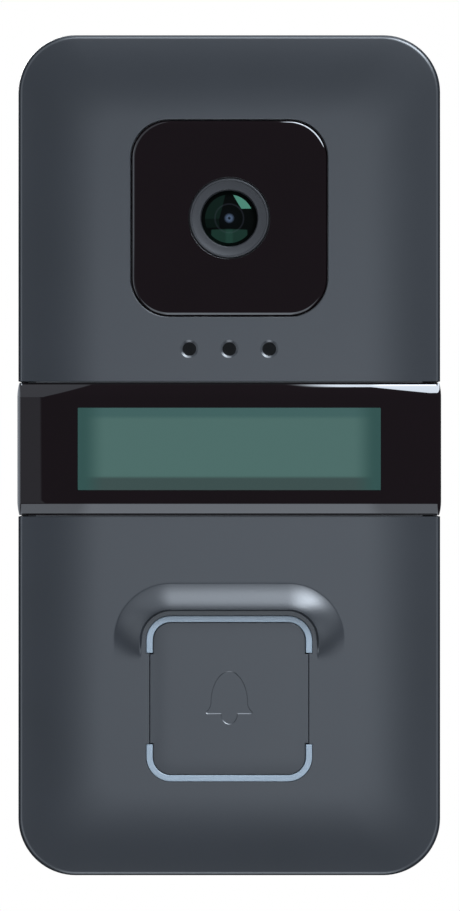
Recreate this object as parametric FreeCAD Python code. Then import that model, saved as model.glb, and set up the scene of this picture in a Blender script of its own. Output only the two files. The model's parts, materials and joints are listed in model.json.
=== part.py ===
"""Video doorbell: one function per sub-part, each written to parts/NODE.step.

Millimetres. X is right and Z is up seen from the front, the front faces -Y, and the wall is the plane
y = 0. The origin is the middle of the wall plate's back face.
"""
import FreeCAD, Part

import math
import os

from FreeCAD import Vector

# ---- body ----
BODY_W = 74.0
BODY_H = 147.4
BODY_R = 10.0
BODY_D = 28.0
WALL = 2.2
EDGE_ROLL = 0.9
FACE_FALL = 1.2
FALL_WIDTH = 14.0
RADIUS_LOSS = 0.45
PARTING_Y = -12.0
FACE_Y = -BODY_D
SHELL_BACK_Y = FACE_Y + WALL
WALL_GAP = 0.6

# ---- wall plate and rear housing ----
PLATE_T = 2.0
PLATE_GAP = 0.3
REAR_OUT_Y = -2.4
REAR_IN_Y = -4.4
ENTRY_Z, ENTRY_W, ENTRY_H = -15.0, 34.0, 18.0
BOX_SCREW_PITCH = 60.0
BOX_SCREW_R = 2.0
WALL_SCREW_X, WALL_SCREW_Z, WALL_SCREW_R = 22.0, 50.0, 2.25
HOOK_X, HOOK_Z, HOOK_W = 13.0, 62.0, 8.0
LOCK_W, LOCK_Z = 12.0, -68.5
BOSS_X, BOSS_Z = 29.5, 60.0

# ---- camera ----
CAM_Z = 41.5
CAM_SIZE, CAM_R = 34.4, 6.7
CAM_GAP = 0.3
CAM_FRONT_Y = FACE_Y + 0.1
CAM_T = 1.5
LEDGE_Y = CAM_FRONT_Y + CAM_T + 0.15
BEZEL_R, BEZEL_BORE_R = 7.05, 4.9
BRACKET_X, BRACKET_Z = 23.0, 8.5

# ---- speaker ----
SPEAKER_Z, SPEAKER_PITCH = 18.6, 7.0
SPEAKER_HOLE_R, SPEAKER_SINK_R = 1.05, 1.55

# ---- name cover ----
BAND_LOW, BAND_HIGH = -10.5, 12.7
BAND_Z = (BAND_LOW + BAND_HIGH) / 2
BAND_PROUD_SIDE, BAND_PROUD_FRONT = 0.17, 0.2
BAND_GAP = 0.25
BAND_T, BAND_LEG_T, BAND_END_Y = 2.0, 1.6, -16.0
NAME_W, NAME_H = 53.0, 14.4
CHANNEL_Y = FACE_Y + 2.0
CHANNEL_X = BODY_W / 2 - 1.6

# ---- button ----
BTN_Z = -42.6
RING_SIZE, RING_R, RING_W = 29.0, 4.3, 1.1
GUIDE_LEG = 6.5
EAR_X = 13.9
BTN_GAP = 0.1
TRAVEL = 0.4
BROW_OUT, BROW_CREST, BROW_IN = 21.0, 15.75, 15.3
BROW_HIGH, BROW_END_Z = 1.9, -33.0
BELL_DOME_X, BELL_DOME_H = 3.3, 5.74
BELL_WAIST_DROP, BELL_BASE_DROP, BELL_BRIM_X = 0.9, 2.7, 4.1
BELL_CLAPPER_R = 1.5
FRAME_FRONT_Y = -21.5
SWITCH_FRONT_Y = -16.1
PLUNGER_FRONT_Y = -17.4

# ---- main board ----
BOARD_BACK_Y, BOARD_FRONT_Y = -11.0, -12.6
BOARD_X, BOARD_Z = 31.0, 66.0


def box(x0, x1, y0, y1, z0, z1):
    """A block between two corners."""
    return Part.makeBox(x1 - x0, y1 - y0, z1 - z0, Vector(x0, y0, z0))


def centred_box(x, z, width, height, y_back, y_front):
    """A block centred on (x, z), from y_back forwards to y_front."""
    return box(x - width / 2, x + width / 2, y_front, y_back, z - height / 2, z + height / 2)


def rounded_wire(width, height, radius, y, x=0.0, z=0.0):
    """A rounded rectangle in the plane y: four lines and four quarter arcs."""
    a, b = width / 2, height / 2
    edges = []
    for sx, sz, start in ((1, 1, 0), (-1, 1, 90), (-1, -1, 180), (1, -1, 270)):
        cx, cz = x + sx * (a - radius), z + sz * (b - radius)
        points = [
            Vector(cx + radius * math.cos(math.radians(start + t)), y,
                   cz + radius * math.sin(math.radians(start + t)))
            for t in (0, 45, 90)
        ]
        if edges:
            edges.append(Part.makeLine(last, points[0]))
        else:
            first = points[0]
        edges.append(Part.Arc(*points).toShape())
        last = points[2]
    edges.append(Part.makeLine(last, first))
    return Part.Wire(edges)


def slab(width, height, radius, y_back, y_front, x=0.0, z=0.0):
    """A rounded rectangle extruded from y_back forwards to y_front."""
    face = Part.Face(rounded_wire(width, height, radius, y_back, x, z))
    return face.extrude(Vector(0, y_front - y_back, 0))


def rod(x, z, radius, y_back, y_front):
    """A cylinder along Y."""
    return Part.makeCylinder(radius, y_back - y_front, Vector(x, y_front, z), Vector(0, 1, 0))


def upright_rod(x, y, radius, z_low, z_high):
    """A cylinder along Z."""
    return Part.makeCylinder(radius, z_high - z_low, Vector(x, y, z_low), Vector(0, 0, 1))


def cone(x, z, radius_back, radius_front, y_back, y_front):
    """A cone along Y."""
    return Part.makeCone(radius_front, radius_back, y_back - y_front, Vector(x, y_front, z),
                         Vector(0, 1, 0))


def prism(points, z_low, z_high):
    """An outline in the plane of X and Y, extruded upwards."""
    outline = [Vector(x, y, z_low) for x, y in points]
    face = Part.Face(Part.makePolygon(outline + outline[:1]))
    return face.extrude(Vector(0, 0, z_high - z_low))


def side_prism(points, x_low, x_high):
    """An outline of (y, z) points, extruded along X."""
    outline = [Vector(x_low, y, z) for y, z in points]
    face = Part.Face(Part.makePolygon(outline + outline[:1]))
    return face.extrude(Vector(x_high - x_low, 0, 0))


def turned(profile, x, z):
    """A solid of revolution about the Y line through (x, z), from (radius, y) points."""
    outline = [Vector(x + r, y, z) for r, y in profile]
    face = Part.Face(Part.makePolygon(outline + outline[:1]))
    return face.revolve(Vector(x, 0, z), Vector(0, 1, 0), 360)


def join(shapes):
    """All shapes as one."""
    return shapes[0].multiFuse(shapes[1:])


def corners(x, z):
    """The four places (+-x, +-z)."""
    return [(sx * x, sz * z) for sz in (1, -1) for sx in (-1, 1)]


def machine_screw(x, z, head_y, head_r, head_t, shank_r, length):
    """A pan-head screw driven forwards, its head's underside at head_y, with a cross recess."""
    head = rod(x, z, head_r, head_y + head_t, head_y)
    shank = rod(x, z, shank_r, head_y, head_y - length)
    arm, depth = head_r * 1.1, head_t * 0.6
    cross = join([
        centred_box(x, z, arm, head_r * 0.28, head_y + head_t, head_y + head_t - depth),
        centred_box(x, z, head_r * 0.28, arm, head_y + head_t, head_y + head_t - depth),
    ])
    return head.fuse(shank).cut(cross)


def rim_profile():
    """(inset, depth) pairs from the side wall over the rolled edge and in to the flat of the face."""
    slope = math.atan(2 * FACE_FALL / FALL_WIDTH)
    turn = math.pi / 2 - slope
    roll_in, roll_up = EDGE_ROLL * (1 - math.cos(turn)), EDGE_ROLL * math.sin(turn)
    start = BODY_D - FACE_FALL - roll_up
    pairs = []
    for step in range(5):
        angle = turn * step / 4
        pairs.append((EDGE_ROLL * (1 - math.cos(angle)), start + EDGE_ROLL * math.sin(angle)))
    for step in range(1, 6):
        t = step / 5
        pairs.append((roll_in + FALL_WIDTH * t, BODY_D - FACE_FALL * (1 - t) ** 2))
    return pairs


def body_blank():
    """The front shell's outer form: straight sides, then a loft over the rim to the flat face."""
    pairs = rim_profile()
    rings = []
    for inset, depth in pairs:
        rings.append(rounded_wire(BODY_W - 2 * inset, BODY_H - 2 * inset,
                                  BODY_R - RADIUS_LOSS * inset, -depth))
    sides = slab(BODY_W, BODY_H, BODY_R, PARTING_Y, -pairs[0][1])
    crown = Part.makeLoft(rings, True, True)
    return sides.fuse(crown)


def band_core(side_x, front_y, back_y, z_low, z_high, chamfer=1.5):
    """What the name cover wraps: a bar with two chamfered front corners."""
    return prism([(-side_x, back_y), (side_x, back_y), (side_x, front_y + chamfer),
                  (side_x - chamfer, front_y), (chamfer - side_x, front_y),
                  (-side_x, front_y + chamfer)], z_low, z_high)


def button_opening(gap, y_back, y_front):
    """The space of the ring and cap: a rounded square that is narrower between the guides' legs."""
    size = RING_SIZE + 2 * gap
    space = slab(size, size, RING_R + gap, y_back, y_front, 0, BTN_Z)
    land_h = RING_SIZE - 2 * GUIDE_LEG - 2 * gap
    lands = []
    for side in (-1, 1):
        inner = EAR_X + BTN_GAP
        lands.append(centred_box(side * (inner + 1), BTN_Z, 2, land_h, y_back, y_front))
    return space.cut(join(lands))


def brow():
    """The raised ridge over the button: highest above the button, and level with the face at its ends."""
    def ring(half, radius, y):
        return rounded_wire(2 * half, 2 * half, radius, y, 0, BTN_Z)

    ridge = Part.makeLoft([ring(BROW_OUT, 10.8, FACE_Y + 0.5), ring(BROW_OUT - 0.3, 10.5, FACE_Y),
                           ring(BROW_CREST + 3.0, 8.5, FACE_Y - 0.25 * BROW_HIGH),
                           ring(BROW_CREST + 1.0, 6.5, FACE_Y - 0.75 * BROW_HIGH),
                           ring(BROW_CREST, 5.6, FACE_Y - BROW_HIGH)], True, True)
    top = BTN_Z + BROW_OUT
    crest = BTN_Z + BROW_CREST
    keep = side_prism([(FACE_Y + 0.5, BROW_END_Z), (FACE_Y, BROW_END_Z), (FACE_Y - 1.01 * BROW_HIGH, crest - 1),
                       (FACE_Y - 1.01 * BROW_HIGH, top + 1), (FACE_Y + 0.5, top + 1)],
                      -BROW_OUT - 1, BROW_OUT + 1)
    hollow = slab(2 * BROW_IN, 2 * BROW_IN, 5.2, FACE_Y + 0.5, FACE_Y - 3, 0, BTN_Z)
    return ridge.common(keep).cut(hollow)


def front_shell():
    shell = body_blank()
    # the hollow gets narrower in steps as the face falls away
    for inset, y_back, y_front in ((WALL, PARTING_Y, -23.6), (5.0, -23.6, -24.8), (9.0, -24.8, SHELL_BACK_Y)):
        shell = shell.cut(slab(BODY_W - 2 * inset, BODY_H - 2 * inset, BODY_R - 0.75 * inset, y_back, y_front))
    shell = shell.fuse(brow())

    # channel floor, its end walls and the bosses inside
    low, high = BAND_LOW - BAND_GAP, BAND_HIGH + BAND_GAP
    inner = BODY_W / 2 - WALL
    shell = shell.fuse(band_core(CHANNEL_X, CHANNEL_Y, PARTING_Y, low - WALL, high + WALL).cut(
        band_core(CHANNEL_X - 2, CHANNEL_Y + 2, PARTING_Y, low - WALL, high + WALL)))
    shell = shell.fuse(box(-inner, inner, SHELL_BACK_Y - 1, -23.4, high, high + 2).fuse(
        box(-inner, inner, SHELL_BACK_Y - 1, -23.4, low - 2, low)))
    shell = shell.fuse(slab(39, 39, 9, SHELL_BACK_Y + 0.8, SHELL_BACK_Y, 0, CAM_Z))
    bosses = [rod(x, z, 3.0, PARTING_Y, SHELL_BACK_Y) for x, z in corners(BOSS_X, BOSS_Z)]
    bosses += [rod(x, CAM_Z + z, 2.4, -19.0, SHELL_BACK_Y) for x, z in corners(BRACKET_X, BRACKET_Z)]
    bosses += [rod(x, BTN_Z + z, 2.4, FRAME_FRONT_Y, SHELL_BACK_Y) for x, z in corners(19.5, 16.5)]
    shell = shell.fuse(join(bosses))

    # the name cover's seat round the front and both sides
    far = BODY_W / 2 + 1
    seat = box(-far, far, FACE_Y - 2, BAND_END_Y + 0.3, low, high).cut(
        band_core(CHANNEL_X, CHANNEL_Y, PARTING_Y, low, high))
    shell = shell.cut(seat)
    shell = shell.cut(centred_box(0, BAND_Z, 54.0, 15.4, CHANNEL_Y + 3, CHANNEL_Y - 1))
    pegs = [rod(x, BAND_Z + z, 1.15, CHANNEL_Y + 3, CHANNEL_Y - 1) for x, z in corners(31.0, 8.0)]
    shell = shell.cut(join(pegs))

    # camera recess with its ledge, speaker holes and button opening
    size = CAM_SIZE + 2 * CAM_GAP
    shell = shell.cut(slab(size, size, CAM_R + CAM_GAP, LEDGE_Y, FACE_Y - 1, 0, CAM_Z))
    shell = shell.cut(slab(31, 31, 5, SHELL_BACK_Y + 2, FACE_Y, 0, CAM_Z))
    for step in (-1, 0, 1):
        x = step * SPEAKER_PITCH
        shell = shell.cut(rod(x, SPEAKER_Z, SPEAKER_HOLE_R, SHELL_BACK_Y + 1, FACE_Y - 1))
        shell = shell.cut(cone(x, SPEAKER_Z, SPEAKER_HOLE_R, SPEAKER_SINK_R, FACE_Y + 0.5, FACE_Y))
    shell = shell.cut(button_opening(0.15, SHELL_BACK_Y + 1, FACE_Y - 2))

    # pilot holes, gasket groove and microphone hole
    pilots = [rod(x, z, 1.05, PARTING_Y, -22.0) for x, z in corners(BOSS_X, BOSS_Z)]
    pilots += [rod(x, CAM_Z + z, 0.8, -19.0, -24.0) for x, z in corners(BRACKET_X, BRACKET_Z)]
    pilots += [rod(x, BTN_Z + z, 0.8, FRAME_FRONT_Y, -25.0) for x, z in corners(19.5, 16.5)]
    shell = shell.cut(join(pilots))
    shell = shell.cut(gasket_ring(PARTING_Y, PARTING_Y - 0.5))
    return shell.cut(upright_rod(10, -19, 0.75, -BODY_H / 2 - 1, -BODY_H / 2 + WALL + 1))


def gasket_ring(y_back, y_front):
    """A thin ring that runs along the middle of the wall at the parting plane."""
    outer = slab(BODY_W - 1.4, BODY_H - 1.4, BODY_R - 0.7, y_back, y_front)
    return outer.cut(slab(BODY_W - 3.0, BODY_H - 3.0, BODY_R - 1.5, y_back, y_front))


def housing_gasket():
    return gasket_ring(PARTING_Y + 0.5, PARTING_Y - 0.5)


def rear_housing():
    tub = slab(BODY_W, BODY_H, BODY_R, -WALL_GAP, PARTING_Y)
    tub = tub.cut(slab(BODY_W - 2 * WALL, BODY_H - 2 * WALL, BODY_R - WALL, REAR_IN_Y, PARTING_Y))
    tub = tub.cut(slab(BODY_W - 2 * WALL, BODY_H - 2 * WALL, BODY_R - WALL, -WALL_GAP, REAR_OUT_Y))

    # pockets, closed towards the inside, for the heads of the wall screws, the hooks and the lock tab
    cups = [rod(x, z, 6.2, REAR_IN_Y, -6.8) for x, z in corners(WALL_SCREW_X, WALL_SCREW_Z)]
    cups += [rod(0, z, 5.6, REAR_IN_Y, -6.4) for z in (-BOX_SCREW_PITCH / 2, BOX_SCREW_PITCH / 2)]
    cups += [centred_box(s * HOOK_X, HOOK_Z + 1, HOOK_W + 4, 11, REAR_IN_Y, -8.0) for s in (-1, 1)]
    cups.append(box(-8, 8, -10.4, REAR_IN_Y, -BODY_H / 2 + WALL, -66.2))
    tub = tub.fuse(join(cups))
    holes = [rod(x, z, 4.8, REAR_OUT_Y, -5.4) for x, z in corners(WALL_SCREW_X, WALL_SCREW_Z)]
    holes += [rod(0, z, 4.2, REAR_OUT_Y, -5.0) for z in (-BOX_SCREW_PITCH / 2, BOX_SCREW_PITCH / 2)]
    holes += [box(s * HOOK_X - HOOK_W / 2 - 0.5, s * HOOK_X + HOOK_W / 2 + 0.5, -6.8, REAR_OUT_Y,
                  HOOK_Z - 3.0, HOOK_Z + 2.4) for s in (-1, 1)]
    holes += [box(s * HOOK_X - HOOK_W / 2 - 0.5, s * HOOK_X + HOOK_W / 2 + 0.5, -6.8, REAR_IN_Y,
                  HOOK_Z + 2.4, HOOK_Z + 5.0) for s in (-1, 1)]
    holes.append(box(-6.5, 6.5, -9.0, REAR_OUT_Y, -BODY_H / 2 + WALL, -67.6))
    tub = tub.cut(join(holes))

    # screw bosses to the front shell and standoffs for the main board
    tub = tub.fuse(join([rod(x, z, 3.6, REAR_IN_Y, PARTING_Y) for x, z in corners(BOSS_X, BOSS_Z)]
                        + [rod(x, z, 2.6, REAR_IN_Y, BOARD_BACK_Y) for x, z in corners(27, 36)]))
    for x, z in corners(BOSS_X, BOSS_Z):
        tub = tub.cut(rod(x, z, 1.5, REAR_OUT_Y, PARTING_Y))
        tub = tub.cut(rod(x, z, 2.7, REAR_OUT_Y, -6.0))
    for x, z in corners(27, 36):
        tub = tub.cut(rod(x, z, 0.8, -6.0, BOARD_BACK_Y))

    # terminal opening with a raised lip inside, security screw hole, gasket groove
    tub = tub.fuse(slab(31, 20, 2.5, REAR_IN_Y, -5.6, 0, ENTRY_Z))
    tub = tub.cut(slab(28, 17, 1.5, REAR_OUT_Y, -5.6, 0, ENTRY_Z))
    low = -BODY_H / 2
    tub = tub.cut(upright_rod(0, -6.0, 1.7, low, low + WALL))
    tub = tub.cut(upright_rod(0, -6.0, 2.9, low, low + 1.1))
    return tub.cut(gasket_ring(PARTING_Y + 0.5, PARTING_Y))


def wall_plate():
    inset = WALL + PLATE_GAP
    plate = slab(BODY_W - 2 * inset, BODY_H - 2 * inset, BODY_R - inset, 0, -PLATE_T)
    plate = plate.cut(slab(ENTRY_W, ENTRY_H, 3, 0, -PLATE_T, 0, ENTRY_Z))
    for x, z in corners(WALL_SCREW_X, WALL_SCREW_Z):
        plate = plate.cut(rod(x, z, WALL_SCREW_R, 0, -PLATE_T))
    for z in (-BOX_SCREW_PITCH / 2, BOX_SCREW_PITCH / 2):
        plate = plate.cut(rod(0, z, BOX_SCREW_R, 0, -PLATE_T))
    # weight-saving windows beside the middle rib
    for side in (-1, 1):
        plate = plate.cut(slab(12, 30, 3, 0, -PLATE_T, side * 22, 12))
        plate = plate.cut(slab(12, 14, 3, 0, -PLATE_T, side * 23.5, -28))
    # hooks at the top: a foot forwards and a lip upwards
    for side in (-1, 1):
        x = side * HOOK_X
        foot = box(x - HOOK_W / 2, x + HOOK_W / 2, -6.0, -PLATE_T, HOOK_Z - 2.0, HOOK_Z)
        lip = box(x - HOOK_W / 2, x + HOOK_W / 2, -6.0, -4.6, HOOK_Z, HOOK_Z + 4.0)
        plate = plate.fuse(foot).fuse(lip)
    # lock tab at the bottom with the security screw's thread
    tab = box(-LOCK_W / 2, LOCK_W / 2, -8.6, -PLATE_T, LOCK_Z - 1.0, LOCK_Z + 0.6)
    plate = plate.fuse(tab)
    return plate.cut(upright_rod(0, -6.0, 1.25, LOCK_Z - 1.0, LOCK_Z + 0.6))


def security_screw():
    low = -BODY_H / 2
    head = upright_rod(0, -6.0, 2.7, low + 0.1, low + 1.1)
    shank = upright_rod(0, -6.0, 1.25, low + 1.1, LOCK_Z + 0.6)
    socket = Part.Face(Part.makePolygon([
        Vector(1.3 * math.cos(math.radians(60 * k)), -6.0 + 1.3 * math.sin(math.radians(60 * k)), low)
        for k in range(7)])).extrude(Vector(0, 0, 0.9))
    pin = upright_rod(0, -6.0, 0.45, low + 0.1, low + 1.0)
    return head.fuse(shank).cut(socket).fuse(pin)


def housing_screw(x, z):
    return machine_screw(x, z, -6.0, 2.5, 1.8, 1.05, 14.0)


def camera_window():
    plate = slab(CAM_SIZE, CAM_SIZE, CAM_R, CAM_FRONT_Y + CAM_T, CAM_FRONT_Y, 0, CAM_Z)
    return plate.cut(rod(0, CAM_Z, BEZEL_R + 0.25, CAM_FRONT_Y + CAM_T, CAM_FRONT_Y))


def window_adhesive():
    ring = slab(CAM_SIZE, CAM_SIZE, CAM_R, LEDGE_Y, CAM_FRONT_Y + CAM_T, 0, CAM_Z)
    return ring.cut(slab(31.4, 31.4, 5.2, LEDGE_Y, CAM_FRONT_Y + CAM_T, 0, CAM_Z))


def lens_bezel():
    back = CAM_FRONT_Y + CAM_T
    return turned([(BEZEL_BORE_R, -25.7), (8.4, -25.7), (8.4, back + 0.05), (BEZEL_R, back + 0.05),
                   (BEZEL_R, FACE_Y + 0.15), (BEZEL_R - 0.15, FACE_Y), (BEZEL_R - 0.45, FACE_Y + 0.05),
                   (BEZEL_BORE_R + 0.6, FACE_Y + 0.75), (BEZEL_BORE_R, FACE_Y + 1.1)], 0, CAM_Z)


def front_lens():
    rim_y, apex_y = FACE_Y + 1.55, FACE_Y + 0.55
    rise, r = rim_y - apex_y, BEZEL_BORE_R - 0.08
    sphere_r = (r * r + rise * rise) / (2 * rise)
    dome = Part.makeSphere(sphere_r, Vector(0, apex_y + sphere_r, CAM_Z))
    return rod(0, CAM_Z, r, -25.05, apex_y - 1).common(dome.cut(
        box(-50, 50, -25.05, 50, CAM_Z - 50, CAM_Z + 50)))


def lens_barrel():
    tube = rod(0, CAM_Z, 6.0, -16.3, -24.95)
    return tube.cut(rod(0, CAM_Z, 3.6, -16.3, -24.95))


def inner_lenses():
    """Two lens elements inside the barrel."""
    return Part.makeCompound([rod(0, CAM_Z, 3.55, -22.0, -23.6), rod(0, CAM_Z, 3.55, -17.8, -19.8)])


def lens_holder():
    block = slab(14, 14, 1.5, -14.6, -19.5, 0, CAM_Z)
    ears = slab(26, 7, 2, -14.6, -17.4, 0, CAM_Z)
    holder = block.fuse(ears)
    holder = holder.cut(rod(0, CAM_Z, 6.04, -16.2, -19.5))
    holder = holder.cut(centred_box(0, CAM_Z, 12, 12, -14.6, -16.2))
    for side in (-1, 1):
        holder = holder.cut(rod(side * 10.5, CAM_Z, 0.8, -14.6, -17.0))
    return holder


def ir_filter():
    return centred_box(0, CAM_Z, 11.8, 11.8, -15.8, -16.2)


def image_sensor():
    return centred_box(0, CAM_Z, 8.0, 7.0, -14.6, -15.3)


def camera_board():
    board = slab(27, 22, 1, -13.6, -14.6, 0, CAM_Z)
    for side in (-1, 1):
        board = board.cut(rod(side * 10.5, CAM_Z, 0.95, -13.6, -14.6))
    return board


def camera_screws():
    return Part.makeCompound([machine_screw(side * 10.5, CAM_Z, -13.6, 1.6, 0.7, 0.78, 3.2)
                              for side in (-1, 1)])


def camera_ribbon():
    z_top, z_bend, z_foot = CAM_Z - 6, CAM_Z - 12.5, CAM_Z - 17.5
    front, back, t = -13.6, BOARD_FRONT_Y, 0.15
    points = [(front + t, z_top), (front + t, z_bend), (back, z_bend - 3), (back, z_foot),
              (back - t, z_foot), (back - t, z_bend - 3.2), (front, z_bend - 0.2), (front, z_top)]
    return side_prism(points, -4, 4)


def camera_bracket():
    plate = slab(54, 26, 3, -17.4, -19.0, 0, CAM_Z)
    plate = plate.cut(slab(14.6, 14.6, 1.8, -17.4, -19.0, 0, CAM_Z))
    for x, z in corners(BRACKET_X, BRACKET_Z):
        plate = plate.cut(rod(x, CAM_Z + z, 1.0, -17.4, -19.0))
    posts = [rod(s * 12.4, CAM_Z + u * 10.5, 1.3, -19.0, -24.2) for s in (-1, 1) for u in (-1, 1)]
    return plate.fuse(join(posts))


def bracket_screws():
    return Part.makeCompound([machine_screw(x, CAM_Z + z, -17.4, 1.7, 0.9, 0.78, 5.5)
                              for x, z in corners(BRACKET_X, BRACKET_Z)])


def ir_led_board():
    board = slab(30.2, 30.2, 4.5, -24.2, -25.2, 0, CAM_Z)
    return board.cut(rod(0, CAM_Z, 7.6, -24.2, -25.2))


def lens_light_seal():
    return turned([(6.1, -24.2), (7.4, -24.2), (7.4, -25.68), (6.1, -25.68)], 0, CAM_Z)


def ir_leds():
    """Four lamps on the board's corners, each a square base with a clear dome."""
    lamps = []
    for x, z in corners(10.5, 10.5):
        dome = Part.makeSphere(1.1, Vector(x, -25.2, CAM_Z + z)).common(
            centred_box(x, CAM_Z + z, 3, 3, -25.2, -26.4))
        lamps.append(centred_box(x, CAM_Z + z, 2.8, 2.8, -25.2, -25.7).fuse(dome))
    return Part.makeCompound(lamps)


def light_sensor():
    return centred_box(0, CAM_Z + 11.5, 2.0, 2.0, -25.2, -25.9)


def speaker_mesh():
    return slab(21, 5.6, 2.7, SHELL_BACK_Y + 0.2, SHELL_BACK_Y, 0, SPEAKER_Z)


def speaker_gasket():
    outer = slab(23, 6.8, 3.3, -23.2, SHELL_BACK_Y + 0.2, 0, SPEAKER_Z)
    return outer.cut(slab(19, 4, 1.9, -23.2, SHELL_BACK_Y + 0.2, 0, SPEAKER_Z))


def speaker_frame():
    frame = slab(28, 12, 5.9, -19.4, -23.2, 0, SPEAKER_Z)
    return frame.cut(slab(25.6, 9.6, 4.7, -20.4, -23.2, 0, SPEAKER_Z))


def speaker_cone():
    rim = slab(25.4, 9.4, 4.6, -22.2, -22.5, 0, SPEAKER_Z)
    dome = slab(14, 5, 2.4, -22.0, -22.9, 0, SPEAKER_Z)
    return rim.fuse(dome)


def speaker_magnet():
    return slab(16, 8.4, 1.5, -17.0, -19.4, 0, SPEAKER_Z)


def speaker_contacts():
    return Part.makeCompound([side_prism([(BOARD_FRONT_Y, SPEAKER_Z - 2), (-15.0, SPEAKER_Z + 1.6),
                                          (-17.0, SPEAKER_Z - 0.4), (-17.0, SPEAKER_Z - 0.1),
                                          (-15.0, SPEAKER_Z + 1.9), (BOARD_FRONT_Y, SPEAKER_Z - 1.7)],
                                         side * 5 - 0.6, side * 5 + 0.6) for side in (-1, 1)])


def microphone():
    return upright_rod(10, -19, 2.9, -69.4, -66.9)


def microphone_boot():
    low = -BODY_H / 2 + WALL
    boot = upright_rod(10, -19, 4.0, low, -66.0)
    return boot.cut(upright_rod(10, -19, 2.9, -69.4, -66.0)).cut(upright_rod(10, -19, 0.75, low, -69.4))


def name_cover():
    """The band: front, rolled edges and side legs, with the window's step and four pegs."""
    outline = [(BODY_W / 2 + BAND_PROUD_SIDE - inset, -depth - BAND_PROUD_FRONT)
               for inset, depth in rim_profile()]
    mirrored = [(-x, y) for x, y in reversed(outline)]
    side = BODY_W / 2 + BAND_PROUD_SIDE
    band = prism([(side, BAND_END_Y)] + outline + mirrored + [(-side, BAND_END_Y)], BAND_LOW, BAND_HIGH)
    band = band.cut(band_core(side - BAND_LEG_T, FACE_Y - BAND_PROUD_FRONT + BAND_T, BAND_END_Y,
                              BAND_LOW, BAND_HIGH))
    front = FACE_Y - BAND_PROUD_FRONT
    band = band.cut(centred_box(0, BAND_Z, NAME_W, NAME_H, front + BAND_T, front - 1))
    band = band.cut(centred_box(0, BAND_Z, NAME_W + 2.4, NAME_H + 2.4, front + BAND_T, front + 1.0))
    pegs = [rod(x, BAND_Z + z, 1.0, front + BAND_T + 2.4, front + BAND_T) for x, z in corners(31.0, 8.0)]
    return band.fuse(join(pegs))


def name_window():
    front = FACE_Y - BAND_PROUD_FRONT
    pane = centred_box(0, BAND_Z, NAME_W, NAME_H, front + 1.6, front)
    return pane.fuse(centred_box(0, BAND_Z, NAME_W + 2.4, NAME_H + 2.4, front + 1.6, front + 1.0))


def name_insert():
    front = FACE_Y - BAND_PROUD_FRONT
    return centred_box(0, BAND_Z, NAME_W + 2.2, NAME_H + 2.2, front + 1.9, front + 1.6)


def name_diffuser():
    plate = centred_box(0, BAND_Z, 53.6, 15.0, CHANNEL_Y + 2, CHANNEL_Y + 0.1)
    return plate.fuse(centred_box(0, BAND_Z, 57, 18.4, CHANNEL_Y + 3.2, CHANNEL_Y + 2))


def backlight_reflector():
    front, back = CHANNEL_Y + 3.2, -13.0
    tray = centred_box(0, BAND_Z, 57, 18.4, back, front)
    return tray.cut(centred_box(0, BAND_Z, 55, 16.4, back, front))


def backlight_leds():
    return Part.makeCompound([centred_box(x, BAND_Z, 3.0, 2.8, BOARD_FRONT_Y, BOARD_FRONT_Y - 0.9)
                              for x in (-18, 0, 18)])


def bell_symbol(y_back, y_front):
    """A plain bell: a half-ellipse dome, a flared brim and a round clapper."""
    waist, base = BTN_Z - BELL_WAIST_DROP, BTN_Z - BELL_BASE_DROP
    brim = (waist + base) / 2 - 0.3

    def at(x, z):
        return Vector(x, y_back, z)

    dome = Part.Ellipse(at(0, waist + BELL_DOME_H), at(BELL_DOME_X, waist), at(0, waist))
    flare = [
        Part.Arc(at(BELL_DOME_X, waist), at(BELL_DOME_X + 0.2, brim + 0.35), at(BELL_BRIM_X, brim)).toShape(),
        Part.Arc(at(BELL_BRIM_X, brim), at(BELL_BRIM_X + 0.05, base + 0.25), at(BELL_BRIM_X - 0.3, base)).toShape(),
        Part.makeLine(at(BELL_BRIM_X - 0.3, base), at(0, base)),
        Part.makeLine(at(0, base), at(0, waist)),
        Part.makeLine(at(0, waist), at(BELL_DOME_X, waist)),
    ]
    right = Part.Face(Part.Wire(flare))
    left = right.mirror(Vector(0, 0, 0), Vector(1, 0, 0))
    deep = Vector(0, y_front - y_back, 0)
    solids = [Part.Face(Part.Wire([dome.toShape()])).extrude(deep).cut(
        box(-5, 5, y_front, y_back, waist - 2 * BELL_DOME_H, waist)), right.extrude(deep), left.extrude(deep)]
    solids.append(rod(0, base - 0.35, BELL_CLAPPER_R, y_back, y_front))
    return join(solids)


def button_cap():
    inner = RING_SIZE - 2 * RING_W - 2 * BTN_GAP
    radius = RING_R - RING_W - BTN_GAP
    ear_h = RING_SIZE - 2 * GUIDE_LEG - 0.4
    cap = slab(inner, inner, radius, -24.2, FACE_Y, 0, BTN_Z)
    cap = cap.fuse(centred_box(0, BTN_Z, 2 * EAR_X, ear_h, -24.2, FACE_Y))
    # retaining lugs behind the shell, at the sides between the guides' legs
    cap = cap.fuse(centred_box(0, BTN_Z, 31.2, ear_h, -24.2, SHELL_BACK_Y + 0.05))
    cap = cap.cut(slab(inner - 2.6, inner - 2.6, radius - 1, -24.2, FACE_Y + 1.8, 0, BTN_Z))
    cap = cap.fuse(rod(0, BTN_Z, 2.5, PLUNGER_FRONT_Y - 0.02, FACE_Y + 1.8))
    ribs = join([centred_box(0, BTN_Z, 20, 1.2, FACE_Y + 3.6, FACE_Y + 1.8),
                 centred_box(0, BTN_Z, 1.2, 20, FACE_Y + 3.6, FACE_Y + 1.8)])
    return cap.fuse(ribs).cut(bell_symbol(FACE_Y + 0.25, FACE_Y - 1))


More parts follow.
